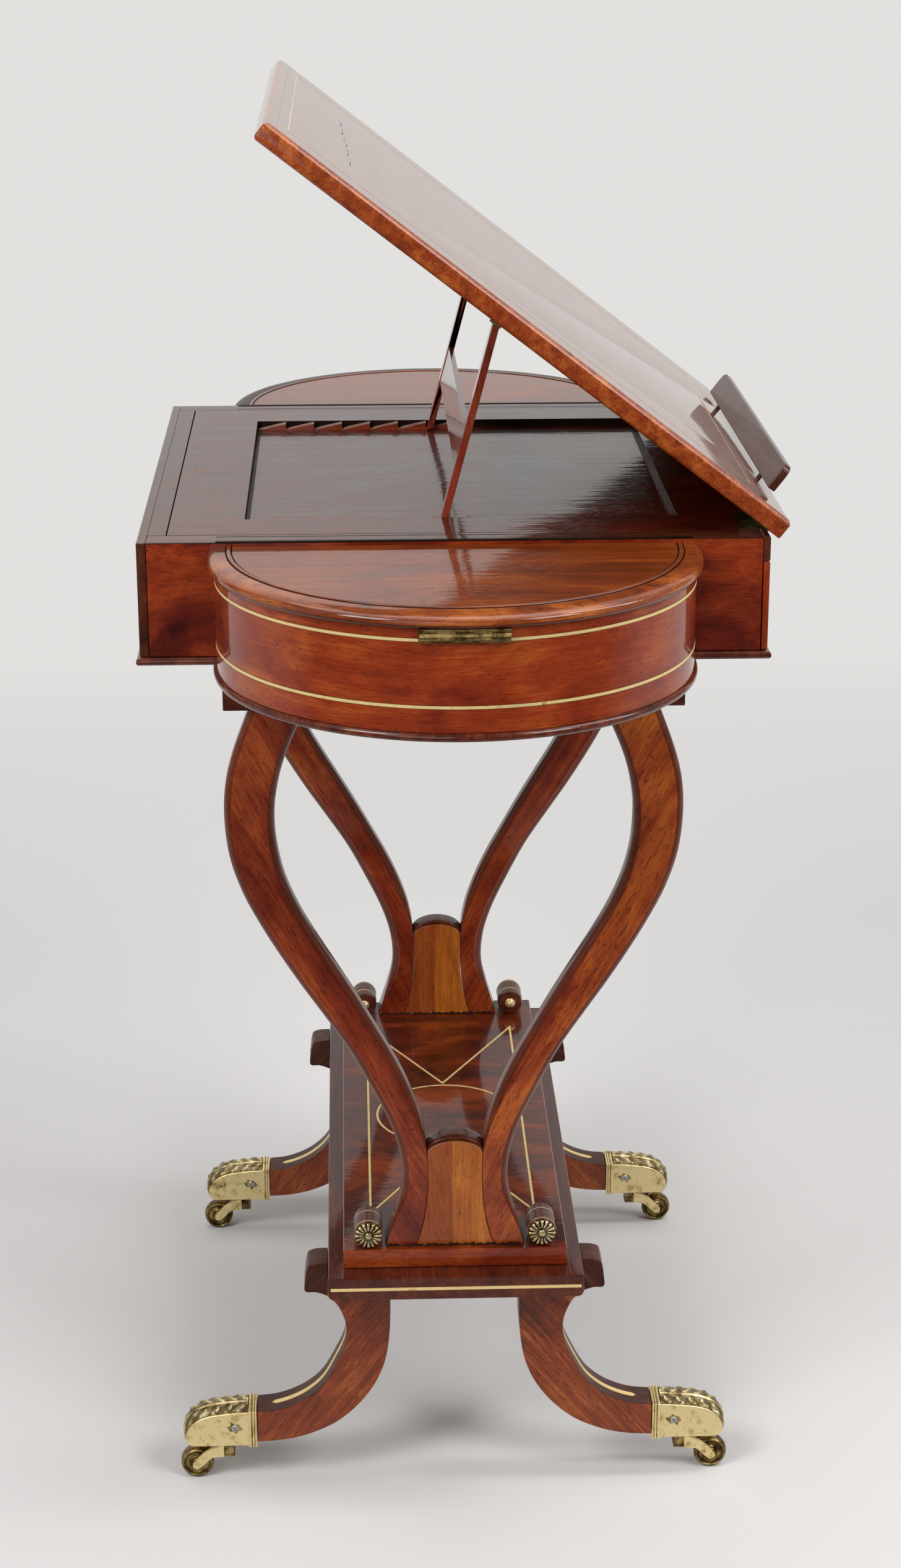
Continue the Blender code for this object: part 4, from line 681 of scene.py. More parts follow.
def sliding_top():
    bm = copied("slide_panel")
    left = min(vert.co.x for vert in bm.verts)
    for vert in bm.verts:
        if vert.co.x < left + 0.0001:
            vert.co.x += 0.0005
    eased(bm, 0.0004)
    painted(bm, well_wall)
    piece(bm, "welled_sliding_top", [TOP_WOOD, DARK_WOOD], "panel", "top_mahogany", "slide_panel")
    dressed("panel_front_strip", "dressed_front_strip", FRAME_WOOD, "panel", "case_mahogany", 0.0006,
            grain=along_y)
    # The ratchets' upward faces take the pale wood, as painted reflection
    for end in ENDS:
        dressed(f"ratchet_{end}", f"saw_tooth_ratchet_{end}", [PROP_WOOD, SHEEN_AND_WEAR_WOOD], "panel",
                "top_mahogany", 0.0003, 1, paint=lambda face: int(face.normal.z > 0.5))
    # A dark fillet along the foot of the well's left wall, and a worn patch round a locking pin
    x, y, size = WELL_LEFT_X + GAP, WELL_HALF_Y - 0.009, 0.0026
    hollow = [(x, WELL_FLOOR_Z)] + [(x + size * (1 - math.sin(a)), WELL_FLOOR_Z + size * (1 - math.cos(a)))
                                    for a in (math.pi / 2, 1.2, 0.8, 0.4, 0)]
    bm = drawn(lofted, [[Vector((across, along, up)) for across, up in hollow] for along in (-y, y)])
    piece(bm, "dark_well_corner_fillet", DARK_FILLET_WOOD, "panel", "top_mahogany")
    spot = Matrix.Translation((-0.1818, -0.0089, CASE_TOP_Z))
    worn = [(0.0028, -0.0002), (0.0028, 0.00002), (0.0014, 0.00006), (0, 0.00006)]
    piece(drawn(turned, worn, 24, spot @ Matrix.Diagonal((1.6, 1, 1, 1))), "worn_patch", SHEEN_AND_WEAR_WOOD, "panel",
          "top_mahogany")
    piece(drawn(turned, [(0.0007, -0.0002), (0.0007, 0.0002), (0, 0.0003)], 16, spot), "locking_pin",
          STRING_BRASS, "panel", "cast_brass")


def slope_grain(co):
    return along_y(OFF_SLOPE @ co)


def clipped(*ends):
    """The slope board's shape, cut off square at seams and closed again."""
    bm = copied("slope_board")
    for x, way in ends:
        cut(bm, ON_SLOPE @ Vector((x, 0, 0)), ON_SLOPE.to_3x3() @ Vector((way, 0, 0)), clear_outer=True)
    return bm


def squared(bm):
    """Draw the slope's narrow arrises out to square corners, to be rounded wider."""
    for vert in bm.verts:
        spot = OFF_SLOPE @ vert.co
        if spot.z > FACE_Z - 0.0028:
            if abs(spot.y) > BOARD_HALF_Y - 0.003:
                spot.y, spot.z = math.copysign(BOARD_HALF_Y, spot.y), FACE_Z
            if spot.x > NOSE_X - 0.003:
                spot.x, spot.z = NOSE_X, FACE_Z
            if spot.x < TOP_END_X + 0.003:
                spot.x, spot.z = TOP_END_X, FACE_Z
            vert.co = ON_SLOPE @ spot
    bmesh.ops.remove_doubles(bm, verts=bm.verts, dist=0.00001)
    bmesh.ops.dissolve_degenerate(bm, dist=0.00001, edges=bm.edges)
    merged(bm)


def on_rim(edge, upper):
    """Whether an edge lies on the slope's rim, along its face or along its back, and not on a seam."""
    spots = [OFF_SLOPE @ vert.co for vert in edge.verts]
    level = min(spot.z for spot in spots)
    return all(abs(spot.y) > BOARD_HALF_Y - 0.0006 or spot.x > NOSE_X - 0.0026
               or spot.x < TOP_END_X + 0.0006 for spot in spots) \
        and not any(all(abs(spot.x - seam) < 0.0003 for spot in spots) for seam in (LOW_SEAM_X, HIGH_SEAM_X)) \
        and (level > FACE_Z - 0.001 if upper else level < FACE_Z - 0.006)


def edge_face_or_back(face):
    up = (OFF_SLOPE.to_3x3() @ face.normal).z
    return 1 if up > 0.93 else 2 if up < -0.93 else 0


def inlaid(bm, name, finish):
    """A shape let into the slope's face, drawn flat."""
    bmesh.ops.transform(bm, matrix=ON_SLOPE, verts=bm.verts)
    piece(bm, name, finish, "slope", "slope_mahogany", grain=slope_grain)


def slope():
    """Slope between its two end lippings, its fibres across the table, and a ledge and prop."""
    for name, ends in (("reading_slope", [(LOW_SEAM_X, 1), (HIGH_SEAM_X, -1)]),
                       ("slope_lipping_low", [(LOW_SEAM_X + 0.0001, -1)]),
                       ("slope_lipping_high", [(HIGH_SEAM_X - 0.0001, 1)])):
        bm = clipped(*ends)
        squared(bm)
        eased(bm, 0.0042, 6, which=lambda edge: on_rim(edge, True))
        eased(bm, 0.0028, 4, which=lambda edge: on_rim(edge, False))
        painted(bm, edge_face_or_back)
        piece(bm, name, [SLOPE_EDGE, SLOPE_FACE, SLOPE_BACK], "slope", "slope_mahogany", "slope_board",
              grain=slope_grain)
    # A pale line let into the face, and an old crack that was filled
    y, upper, lower, wide = BOARD_HALF_Y - 0.038, TOP_END_X + 0.017, NOSE_X - 0.030, 0.0009
    bm = bmesh.new()
    for low_x, high_x, low_y, high_y in ((upper, lower, y, y + wide), (upper, lower, -y - wide, -y),
                                         (upper, upper + wide, -y, y), (lower - wide, lower, -y, y)):
        block(bm, (low_x, low_y, FACE_Z - 0.0004), (high_x, high_y, FACE_Z + 0.00012))
    inlaid(bm, "slope_face_line", FACE_LINE)
    bm = bmesh.new()
    for step in range(17):
        y = 0.1 - 0.0135 * step
        x = -0.3775 + 0.0006 * step + 0.0008 * math.sin(step * 2.3)
        long = 0.0035 + 0.0025 * math.sin(step * 1.7)
        wide = 0.0003 + 0.0002 * math.sin(step * 2.9)
        block(bm, (x - wide, y - long, FACE_Z - 0.0003), (x + wide, y + long, FACE_Z + 0.00006))
    inlaid(bm, "filled_crack", DARK_WOOD)
    dressed("book_ledge", "dressed_book_ledge", LEDGE_WOOD, "ledge", "slope_mahogany", 0.0014, 3,
            grain=along_y)
    dressed("prop_frame", "dressed_prop", PROP_WOOD, "prop", "slope_mahogany", 0.0006, grain=along_z)


# Stand: edges are given as shares of a part's width and height

ARM_OUTER = [(0.318, 0), (0.272, 0.06), (0.24, 0.12), (0.252, 0.18), (0.3, 0.24), (0.378, 0.305),
             (0.474, 0.377), (0.588, 0.445), (0.683, 0.5), (0.776, 0.558), (0.858, 0.614), (0.928, 0.67),
             (0.98, 0.733), (1, 0.8), (0.993, 0.862), (0.958, 0.92), (0.883, 1)]
ARM_INNER = [(0.178, 0), (0.146, 0.043), (0.1265, 0.104), (0.1265, 0.179), (0.15, 0.24), (0.196, 0.295),
             (0.262, 0.352), (0.34, 0.408), (0.424, 0.467), (0.51, 0.524), (0.596, 0.58), (0.676, 0.636),
             (0.738, 0.694), (0.773, 0.752), (0.782, 0.81), (0.767, 0.862), (0.733, 0.912),
             (0.675, 0.967), (0.629, 1)]
LEG_UPPER = [(0.463, 0.905), (0.3935, 0.853), (0.341, 0.768), (0.326, 0.69), (0.345, 0.6), (0.4054, 0.5),
             (0.5, 0.375), (0.61, 0.297), (0.73, 0.247), (0.86, 0.216), (1, 0.205)]
LEG_LOWER = [(1, 0.022), (0.84, 0.0285), (0.69, 0.048), (0.55, 0.083), (0.412, 0.134), (0.28, 0.214),
             (0.17, 0.308), (0.09, 0.41), (0.035, 0.53), (0.008, 0.67), (0, 0.8)]
EAR = [(0.5, 0.985), (0.82, 0.9), (0.93, 0.68), (0.98, 0.4), (1, 0), (0.567, -0.036), (0.267, -0.1)]


def scaled(shares, width, height, x=0, z=0):
    return [(x + share * width, z + rise * height) for share, rise in shares]


def lyre_arms():
    """Flat-faced branches whose rims are rounded over."""
    outer, inner = (spaced(smooth(scaled(edge, LYRE_SPREAD, LYRE_HEIGHT)), 90)
                    for edge in (ARM_OUTER, ARM_INNER))
    half, rim, least = LYRE_THICK / 2, 0.0062, 0.0005
    sections = []
    for out, back in zip(outer, inner):
        across = out - back
        wide = across.length
        across.normalize()
        height = min(out.y, back.y)
        # The rims grow round above the stem's shoulder and above the foot
        inner_round = rim * held((height - STEM_SHARE * LYRE_HEIGHT) / 0.035) + least
        outer_round = rim * held((height - 0.012) / 0.03) + 0.0006
        spots = []
        for u, v, radius, start in ((wide, -half, outer_round, -90), (wide, half, outer_round, 0),
                                    (0, half, inner_round, 90), (0, -half, inner_round, 180)):
            middle_u, middle_v = u - math.copysign(radius, u - wide / 2), v - math.copysign(radius, v)
            bend = [(middle_u + radius * math.cos(math.radians(start + turn)),
                     middle_v + radius * math.sin(math.radians(start + turn))) for turn in parts(90, 6)]
            # The bend's end at the flat is doubled, which keeps the shading of the two apart
            flat = (middle_u, v)
            for along, y in [flat, *bend] if start in (-90, 90) else [*bend, flat]:
                place = back + across * along
                spots.append(Vector((place.x, y, place.y)))
        sections.append(spots)
    for corner, _, _, at in corners(LYRE_Y, PLINTH_TOP_Z + GAP):
        bm = drawn(lofted, sections)
        # The rims take a darker wood: painted shade, with some grime
        painted(bm, lambda face: int(abs(face.normal.y) < 0.985 and len(face.verts) == 4))
        # The near right branch takes the lighter copy, as painted light
        woods = [LIT_BRANCH_WOOD if corner == "near_right" else STAND_WOOD, RIM_SHADE_AND_DIRT]
        piece(bm, f"lyre_branch_{corner}", woods, "table", "stand_mahogany", f"lyre_arm_{corner}", at=at,
              grain=lambda co: Vector((0.48 * co.x + 0.88 * co.z, 0.88 * co.x - 0.48 * co.z, co.y)), soft=28)


def bulged(value):
    return math.copysign(abs(value) ** 0.6, value)


def lyre_stems():
    """Stem between the branches' feet, jointed of a brown and a golden board, under a rolled cap."""
    shoulder = STEM_SHARE * LYRE_HEIGHT
    flank = smooth([(x - GAP, z) for x, z in scaled(ARM_INNER[:4], LYRE_SPREAD, LYRE_HEIGHT)], 8)
    half = flank[-1].x
    arch = [Vector((half * math.cos(a), shoulder + 0.009 * math.sin(a))) for a in parts(math.pi, 32)[1:-1]]
    outline = flank + arch + [Vector((-spot.x, spot.y)) for spot in flank[::-1]]
    path = [Vector(((half - GAP) * math.cos(a), 0, shoulder + 0.0108 * math.sin(a)))
            for a in parts(math.pi, 40)]
    roll = []
    for index, spot in enumerate(path):
        ahead = heading(path, index)
        out = Vector((ahead.z, 0, -ahead.x)).normalized()
        roll.append([spot + out * 0.0019 * bulged(math.cos(a)) + Vector((0, 0.0088 * bulged(math.sin(a)), 0))
                     for a in parts(2 * math.pi, 24)[:-1]])
    for end, end_sign in ENDS.items():
        at = Matrix.Translation((0, end_sign * LYRE_Y, PLINTH_TOP_Z + GAP))
        for side, wood in (("left", STEM_BROWN), ("right", STEM_WOOD)):
            bm = sawn(outline, LYRE_THICK)
            cut(bm, (SIDES[side] * 0.00005 + STEM_SEAM_X, 0, 0), (SIDES[side], 0, 0), clear_inner=True)
            eased(bm, 0.0005,
                  which=lambda edge: max(abs(vert.co.x - STEM_SEAM_X) for vert in edge.verts) > 0.001)
            piece(bm, f"lyre_stem_{end}_{side}", wood, "table", "stem_mahogany", f"lyre_stem_{end}", at=at,
                  grain=along_z)
        # The arch's edge is painted pale as a painted highlight, and dark polish has settled along the foot
        arch_highlight, grime = bmesh.new(), bmesh.new()
        for front in (-1, 1):
            y = front * (LYRE_THICK / 2 + 0.00005)
            joined_to(arch_highlight, drawn(lofted, [
                [Vector((spot.x * scale, y - front * back, shoulder + (spot.y - shoulder) * scale))
                 for scale, back in ((0.975, 0.0003), (0.975, 0), (1, 0), (1, 0.0003))] for spot in arch]))
            y = front * (LYRE_THICK / 2 - 0.0002)
            bead = []
            for step, along in enumerate(parts(0.1, 60)):
                rise = 0.0013 + 0.0007 * math.sin(step * 1.9 + front) + 0.0005 * math.sin(step * 0.71)
                reach = 0.0009 + 0.0004 * math.sin(step * 1.3 + 2)
                bead.append([Vector((along - 0.05, y + front * out, up)) for out, up in (
                    (0, 0), (0.0002 + reach, 0), (0.0002 + reach * 0.4, rise * 0.5), (0, rise),
                    (-0.0004, rise * 0.5))])
            joined_to(grime, drawn(lofted, bead))
        piece(arch_highlight, f"arch_painted_highlight_{end}", SHEEN_AND_WEAR_WOOD, "table", "stem_mahogany", at=at)
        piece(grime, f"foot_grime_{end}", DARK_WOOD, "table", "ebonised_wood", at=at)
        piece(drawn(lofted, roll), f"stem_roll_{end}", BOLSTER_WOOD, "table", "ebonised_wood", at=at,
              grain=along_y, soft=60)


def plinths():
    dressed("lower_plinth", "dressed_lower_plinth", BASE_WOOD, "table", "stand_mahogany", 0.0008, turn=60,
            grain=along_y)
    dressed("upper_plinth", "dressed_upper_plinth", [PLINTH_WOOD, PLINTH_END], "table", "stand_mahogany",
            paint=lambda face: int(face.normal.z < 0.9))
    dressed("plinth_string_hourglass", "hourglass_string", STRING_BRASS, "table", "brass_stringing")
    section = [(0.0536, 0), (0.0554, 0), (0.0554, -0.0009), (0.0536, -0.0009)]
    piece(drawn(turned, section, 96, Matrix.Translation((0, 0, PLINTH_TOP_Z)), ring=True), "ring_string",
          STRING_BRASS, "table", "brass_stringing", "plinth_string_ring")
    half = 0.0915
    for end, sign in ENDS.items():
        y = sign * 0.246
        bm = drawn(block, (-half, y - sign * 0.0008, 0.1776), (half, y + sign * 0.00012, 0.18))
        piece(bm, f"plinth_end_line_{end}", STRING_BRASS, "table", "brass_stringing")


def sabre_legs():
    """Legs sawn to a curve, with an ear beside the plinth and a brass line up the front."""
    spread, rise = COLLAR_X - GAP - LEG_ROOT_X, PLINTH_BASE_Z - SOCKET_BASE_Z
    upper, lower = (smooth(scaled(edge, spread, rise, LEG_ROOT_X, SOCKET_BASE_Z))
                    for edge in (LEG_UPPER, LEG_LOWER))
    ear = smooth(scaled(EAR, 0.0172, 0.023, LEG_SIDE_X, 0.161), 4)
    root, ear_x, ear_z = PLINTH_BASE_Z - GAP, LEG_SIDE_X + 0.0004, 0.1588
    outline = [(LEG_ROOT_X, root), (LEG_SIDE_X, root), (LEG_SIDE_X, 0.184), *ear, *upper, *lower]
    run = [spot for spot in upper if spot.x < COLLAR_X - 0.009]
    line = 0.0025
    string = []
    for index, spot in enumerate(run):
        ahead = heading(run, index)
        out = Vector((-ahead.y, ahead.x)).normalized()
        out = out if out.y > 0 or out.x > 0 else -out
        # The line's ends are rounded
        from_end = min(1, (run[-1] - spot).length / line, (spot - run[0]).length / line)
        half = line * max(0.15, math.sqrt(max(0, 1 - (1 - from_end) ** 2)))
        low, high = spot - out * 0.0006, spot + out * 0.00014
        string.append([Vector((at.x, y, at.y))
                       for at, y in ((low, -half), (high, -half), (high, half), (low, half))])

    # The ear and the narrow edges are painted darker
    def darker_face(face):
        middle = face.calc_center_median()
        in_ear = middle.x > ear_x and middle.z > ear_z
        return int(in_ear or (abs(face.normal.y) < 0.75 and face.normal.z > -0.3))

    for corner, _, _, at in corners(LEG_Y):
        bm = sawn(outline, LEG_THICK)
        eased(bm, 0.0009)
        cut(bm, (ear_x, 0, 0), (1, 0, 0))
        cut(bm, (0, 0, ear_z), (0, 0, 1))
        painted(bm, darker_face)
        piece(bm, f"sabre_{corner}", [LEG_WOOD, EDGE_WOOD], "table", "stand_mahogany",
              f"sabre_leg_{corner}", at=at,
              grain=lambda co: Vector((co.x * 0.62 - co.z * 0.78, co.x * 0.78 + co.z * 0.62, co.y)))
        piece(drawn(lofted, string), f"leg_string_{corner}", STRING_BRASS, "table", "brass_stringing", at=at)


def bolsters():
    """Turned bolster with two brass rings, a petalled rosette outside and a knob inside."""
    half, radius, count = 0.0145, 0.0105, 128
    barrel = [(0, half), (radius - 0.0012, half), (radius - 0.0002, half - 0.0008), (radius, half - 0.002),
              (radius, -half + 0.002), (radius - 0.0008, -half + 0.0003), (0.004, -half), (0, -half)]
    knob = [(0.0044, 0), (0.0044, 0.0006), (0.0036, 0.001), (0.0037, 0.0022), (0.003, 0.0034),
            (0.0016, 0.0041), (0, 0.0043)]
    flower, gaps = [], []
    for share, height in ((1, 0), (1, 0.0008), (0.93, 0.0017), (0.75, 0.0019), (0.5, 0.0013), (0.34, 0.001),
                          (0.3, 0.002), (0.2, 0.0026), (0.08, 0.0028)):
        ring, dark = [], []
        for a in parts(2 * math.pi, count)[:-1]:
            petal = abs(math.cos(8 * a))
            lift = 1 if share < 0.4 else 0.35 + 0.65 * math.sqrt(petal)
            reach = 0.0098 * share * (1 if share < 0.4 else 0.94 + 0.06 * math.sqrt(petal))
            ring.append(Vector((reach * math.cos(a), reach * math.sin(a), half + height * lift)))
            dark.append(0 if share < 0.28 else 0.9 if share < 0.36 else held((0.78 - petal) / 0.4))
        flower.append(ring)
        gaps.append(dark)
    for corner, end_sign, side_sign, _ in corners(LYRE_Y):
        at = facing((side_sign * 0.0635, end_sign * LYRE_Y, PLINTH_TOP_Z + GAP + radius), end_sign)
        piece(drawn(turned, barrel), f"turned_bolster_{corner}", BOLSTER_WOOD, "table", "stand_mahogany",
              f"bolster_{corner}", at=at, grain=along_z)
        piece(drawn(lofted, flower, crevices=gaps), f"rosette_{corner}", LEAF_BRASS, "table", "cast_brass",
              at=at, soft=60)
        bm = bmesh.new()
        back, front = radius - 0.0004, radius + 0.0002
        for level in (-0.0052, 0.0108):
            turned(bm, [(back, level), (front, level), (front, level + 0.0009), (back, level + 0.0009)],
                   ring=True)
        turned(bm, [(reach, -half - down) for reach, down in knob], 24)
        piece(bm, f"bolster_brass_{corner}", CAST_BRASS, "table", "cast_brass", at=at)


# Castors

TOE_X, TOE_LENGTH, SOCKET_HEIGHT, SOCKET_HALF = 0.1556, 0.0473, 0.0283, 0.0131
TOE = [(0, 1), (0.2, 0.985), (0.4, 0.95), (0.58, 0.91), (0.72, 0.84), (0.84, 0.73), (0.93, 0.585),
       (0.98, 0.41), (1, 0.25), (0.975, 0.11), (0.91, 0.02), (0.87, 0)]
TOE_CURVE = smooth(scaled(TOE, TOE_LENGTH, SOCKET_HEIGHT, TOE_X, SOCKET_BASE_Z), 6)
ARM_TOP = [(-0.9, 0.93), (-0.72, 0.88), (-0.5, 0.76), (-0.23, 0.57), (-0.02, 0.34)]
ARM_BASE = [(-0.24, 0.02), (-0.38, 0.2), (-0.52, 0.33), (-0.76, 0.36), (-0.9, 0.37)]
SWIVEL_X, TRAIL, WHEEL_RADIUS = 0.172, 0.023, 0.0125
AXLE = Vector((SWIVEL_X + TRAIL, WHEEL_RADIUS))
ON_AXLE = Matrix.Translation((AXLE.x, 0, AXLE.y)) @ UPRIGHT


def eased_block(bm, low, high, width, segments=2):
    """Add a block whose own edges are eased."""
    part = drawn(block, low, high)
    eased(part, width, segments)
    joined_to(bm, part)


def collar_bands(bm, bands, out):
    """Square bands round the leg's end, each from one x to another."""
    half = SOCKET_HALF + out
    for start, end in bands:
        eased_block(bm, (start, -half, SOCKET_BASE_Z - out),
                    (end, half, SOCKET_BASE_Z + SOCKET_HEIGHT + out * 1.2), min(0.0009, (end - start) * 0.4), 3)


def wave(turns):
    return math.cos(2 * math.pi * turns)


def hump(value, middle, width):
    return math.exp(-((value - middle) / width) ** 2)


def acanthus():
    """Leaf cast over the toe: a midrib, and lobes that sweep from it towards the tip and over the edges."""
    path = spaced([spot for spot in TOE_CURVE if spot.y > SOCKET_BASE_Z + 0.2 * SOCKET_HEIGHT], 96)
    across = [step / 24 - 1 for step in range(49)]
    half, lobes = SOCKET_HALF - 0.0009, 6.2
    sections, darks = [], []
    for index, spot in enumerate(path):
        ahead = heading(path, index)
        out = Vector((-ahead.y, ahead.x)).normalized()
        along = index / (len(path) - 1)
        tip, place_in_lobe = min(1, (1 - along) / 0.1), along * lobes
        top, dark = [], []
        for v in across:
            side = abs(v)
            lobe = 0.5 + 0.5 * wave(place_in_lobe - side + 0.25)
            curl = max(0, wave(place_in_lobe - 0.3)) ** 2 * hump(side, 0.5, 0.13)
            edge_curl = max(0, wave(place_in_lobe - 0.75)) ** 2 * hump(side, 0.93, 0.1)
            rib, gutter = hump(side, 0, 0.08), hump(side, 0.17, 0.07)
            dome = 0.0004 + 0.0021 * (1 - side ** 2.4)
            ridges = 0.0009 * lobe ** 0.8 * (0.3 + 0.7 * side) + 0.0008 * curl + 0.0009 * edge_curl
            lift = dome * tip ** 0.5 + (ridges * (1 - rib) + 0.0008 * rib - 0.0007 * gutter) * tip
            place = spot + out * lift
            top.append(Vector((place.x, v * half, place.y)))
            bright = max(rib, curl, edge_curl, lobe ** 3 * 0.6)
            dark.append(min(0.85, max(0, 0.7 - bright + 0.4 * gutter)))
        under = spot - out * 0.0035
        sections.append(top + [Vector((under.x, v * half, under.y)) for v in across[::-1]])
        darks.append(dark + [0.9] * len(across))
    return sections, darks


def horn_stem(bm):
    """Stem block with its flange and rivet."""
    top = SOCKET_BASE_Z - GAP
    for low, high, reach, half, width in ((0.01, 0.0014, 0.005, 0.0077, 0.0008),
                                          (0.0116, 0.0098, 0.0056, 0.0081, 0.0005),
                                          (0.0016, 0, 0.0054, 0.0081, 0.0005)):
        eased_block(bm, (SWIVEL_X - reach, -half, top - low), (SWIVEL_X + reach, half, top - high), width)


def horn_arms(bm):
    """The two arms that carry the axle, with its riveted ends."""
    drop = SOCKET_BASE_Z - GAP - WHEEL_RADIUS
    up, down = (smooth([AXLE + Vector(spot) for spot in scaled(edge, TRAIL, drop)])
                for edge in (ARM_TOP, ARM_BASE))
    outline = up + arc(0.0034, math.radians(60), math.radians(-140), 24, AXLE) + down
    rivet = [(0.0026, -0.0002), (0.0026, 0.0003), (0.0019, 0.0003), (0.0019, 0.0001), (0.0016, 0.0001),
             (0.0016, 0.0006), (0.001, 0.0008), (0, 0.0009)]
    for side in (-1, 1):
        arm = sawn(outline, 0.0026, side * 0.0075)
        eased(arm, 0.0005)
        joined_to(bm, arm)
        turned(bm, rivet, 24, facing((AXLE.x, side * 0.0088, AXLE.y), side))
    turned(bm, [(0.0016, -0.0066), (0.0016, 0.0066)], 20, ON_AXLE)


def wheel(bm):
    """Wheel with dished faces."""
    half = 0.0055
    face = smooth([(0.0019, half), (0.0036, half), (0.0046, half - 0.0022), (0.0068, half - 0.0033),
                   (0.0088, half - 0.0026), (0.0098, half - 0.0004), (0.0108, half - 0.0001),
                   (0.0118, half - 0.0014), (0.0124, half - 0.0036), (WHEEL_RADIUS, 0)], 3)
    turned(bm, face + [(spot.x, -spot.y) for spot in face[-2::-1]], 56, ON_AXLE, ring=True)


def screw_shapes(side):
    """Slotted steel screw in a roughly filed dark pocket of the toe's cheek."""
    outward = facing((TOE_X + 0.0099, side * SOCKET_HALF, SOCKET_BASE_Z + 0.54 * SOCKET_HEIGHT), side)
    rim = [(1, 0.1), (0.72, 0.55), (0.25, 0.62), (-0.2, 1), (-0.5, 0.55), (-1.15, 0.3), (-0.85, -0.25),
           (-0.45, -0.72), (0.1, -0.6), (0.55, -1.05), (0.7, -0.45), (1.15, -0.3)]
    filed = [[Vector((x * 0.0052, y * 0.0048, z)) for x, y in smooth(rim, 3)] for z in (-0.0004, 0.00008)]
    pocket = drawn(lofted, filed, crevices=[[0.35] * len(section) for section in filed])
    head = drawn(turned, [(0.0028, -0.0003), (0.0028, 0.0006), (0.0022, 0.0011), (0, 0.0012)], 24)
    slot = Matrix.Rotation(math.radians(35), 3, "Z")
    for away in (-1, 1):
        cut(head, slot @ Vector((away * 0.00045, 0, 0)), slot @ Vector((1, 0, 0)))
    for vert in head.verts:
        if abs((slot.inverted() @ vert.co).x) < 0.0003 and vert.co.z > 0.0005:
            vert.co.z -= 0.0006
    for bm in (pocket, head):
        bmesh.ops.transform(bm, matrix=outward, verts=bm.verts)
    return pocket, head


def castors():
    """Leaf-cast toe sockets, and the horns and wheels under them."""
    leaf, darks = acanthus()
    toe = [(0.1493, SOCKET_BASE_Z), (0.1493, SOCKET_BASE_Z + SOCKET_HEIGHT), *TOE_CURVE]
    for corner, end_sign, side_sign, at in corners(LEG_Y):
        bm = sawn(toe, 2 * SOCKET_HALF)
        eased(bm, 0.0009, 3)
        piece(bm, f"toe_socket_{corner}", CAST_BRASS, "table", "cast_brass", f"castor_socket_{corner}", at=at)
        piece(drawn(lofted, leaf, crevices=darks), f"toe_leaf_{corner}", LEAF_BRASS, "table", "cast_brass",
              at=at, soft=50)
        bands = ((0.149, 0.1505), (0.1509, 0.1524), (0.153, 0.1556))
        piece(drawn(collar_bands, bands, 0.0009), f"toe_collar_{corner}", CAST_BRASS, "table", "cast_brass",
              at=at)
        piece(drawn(collar_bands, ((0.1494, 0.1559),), 0.0003), f"collar_grime_{corner}", DARK_BRASS,
              "table", "dark_brass", at=at)
        for cheek in (-1, 1):
            pocket, head = screw_shapes(cheek)
            hand = "outer" if cheek * end_sign * side_sign > 0 else "inner"
            piece(pocket, f"filed_pocket_{corner}_{hand}", HINGE_BRASS, "table", "cast_brass", at=at)
            piece(head, f"toe_screw_{corner}_{hand}", STEEL, "table", "cast_brass", at=at)
        horn = f"horn_{corner}"
        piece(drawn(horn_stem), f"horn_block_{corner}", DARK_BRASS, horn, "dark_brass",
              f"castor_horn_{corner}", at=at)
        piece(drawn(horn_arms), f"horn_arms_{corner}", CAST_BRASS, horn, "cast_brass", at=at)
        piece(drawn(wheel), f"dished_wheel_{corner}", DARK_BRASS, f"wheel_{corner}", "dark_brass",
              f"castor_wheel_{corner}", at=at, soft=50)


# Hinges and brackets

def fittings():
    for end in ENDS:
        name = f"lid_hinge_box_leaf_{end}"
        bm = copied(name)
        for vert in bm.verts:
            if vert.co.z < LID_AXIS_Z - 0.004:
                vert.co.z = LEAF_LOW_Z
        eased(bm, 0.0003)
        piece(bm, f"hinge_box_leaf_{end}", HINGE_BRASS, "table", "cast_brass", name)
        dressed(f"lid_hinge_leaf_{end}", f"hinge_lid_leaf_{end}", HINGE_BRASS, f"{end}_lid", "cast_brass",
                0.0003)
    # The slope's hinges and the prop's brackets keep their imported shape
    for name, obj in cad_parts.items():
        if name.startswith(("slope_hinge", "prop_bracket")):
            for slot in obj.material_slots:
                slot.material = DARK_BRASS


# Studio

def added(name, data):
    """A new object in the scene."""
    obj = bpy.data.objects.new(name, data)
    bpy.context.scene.collection.objects.link(obj)
    return obj


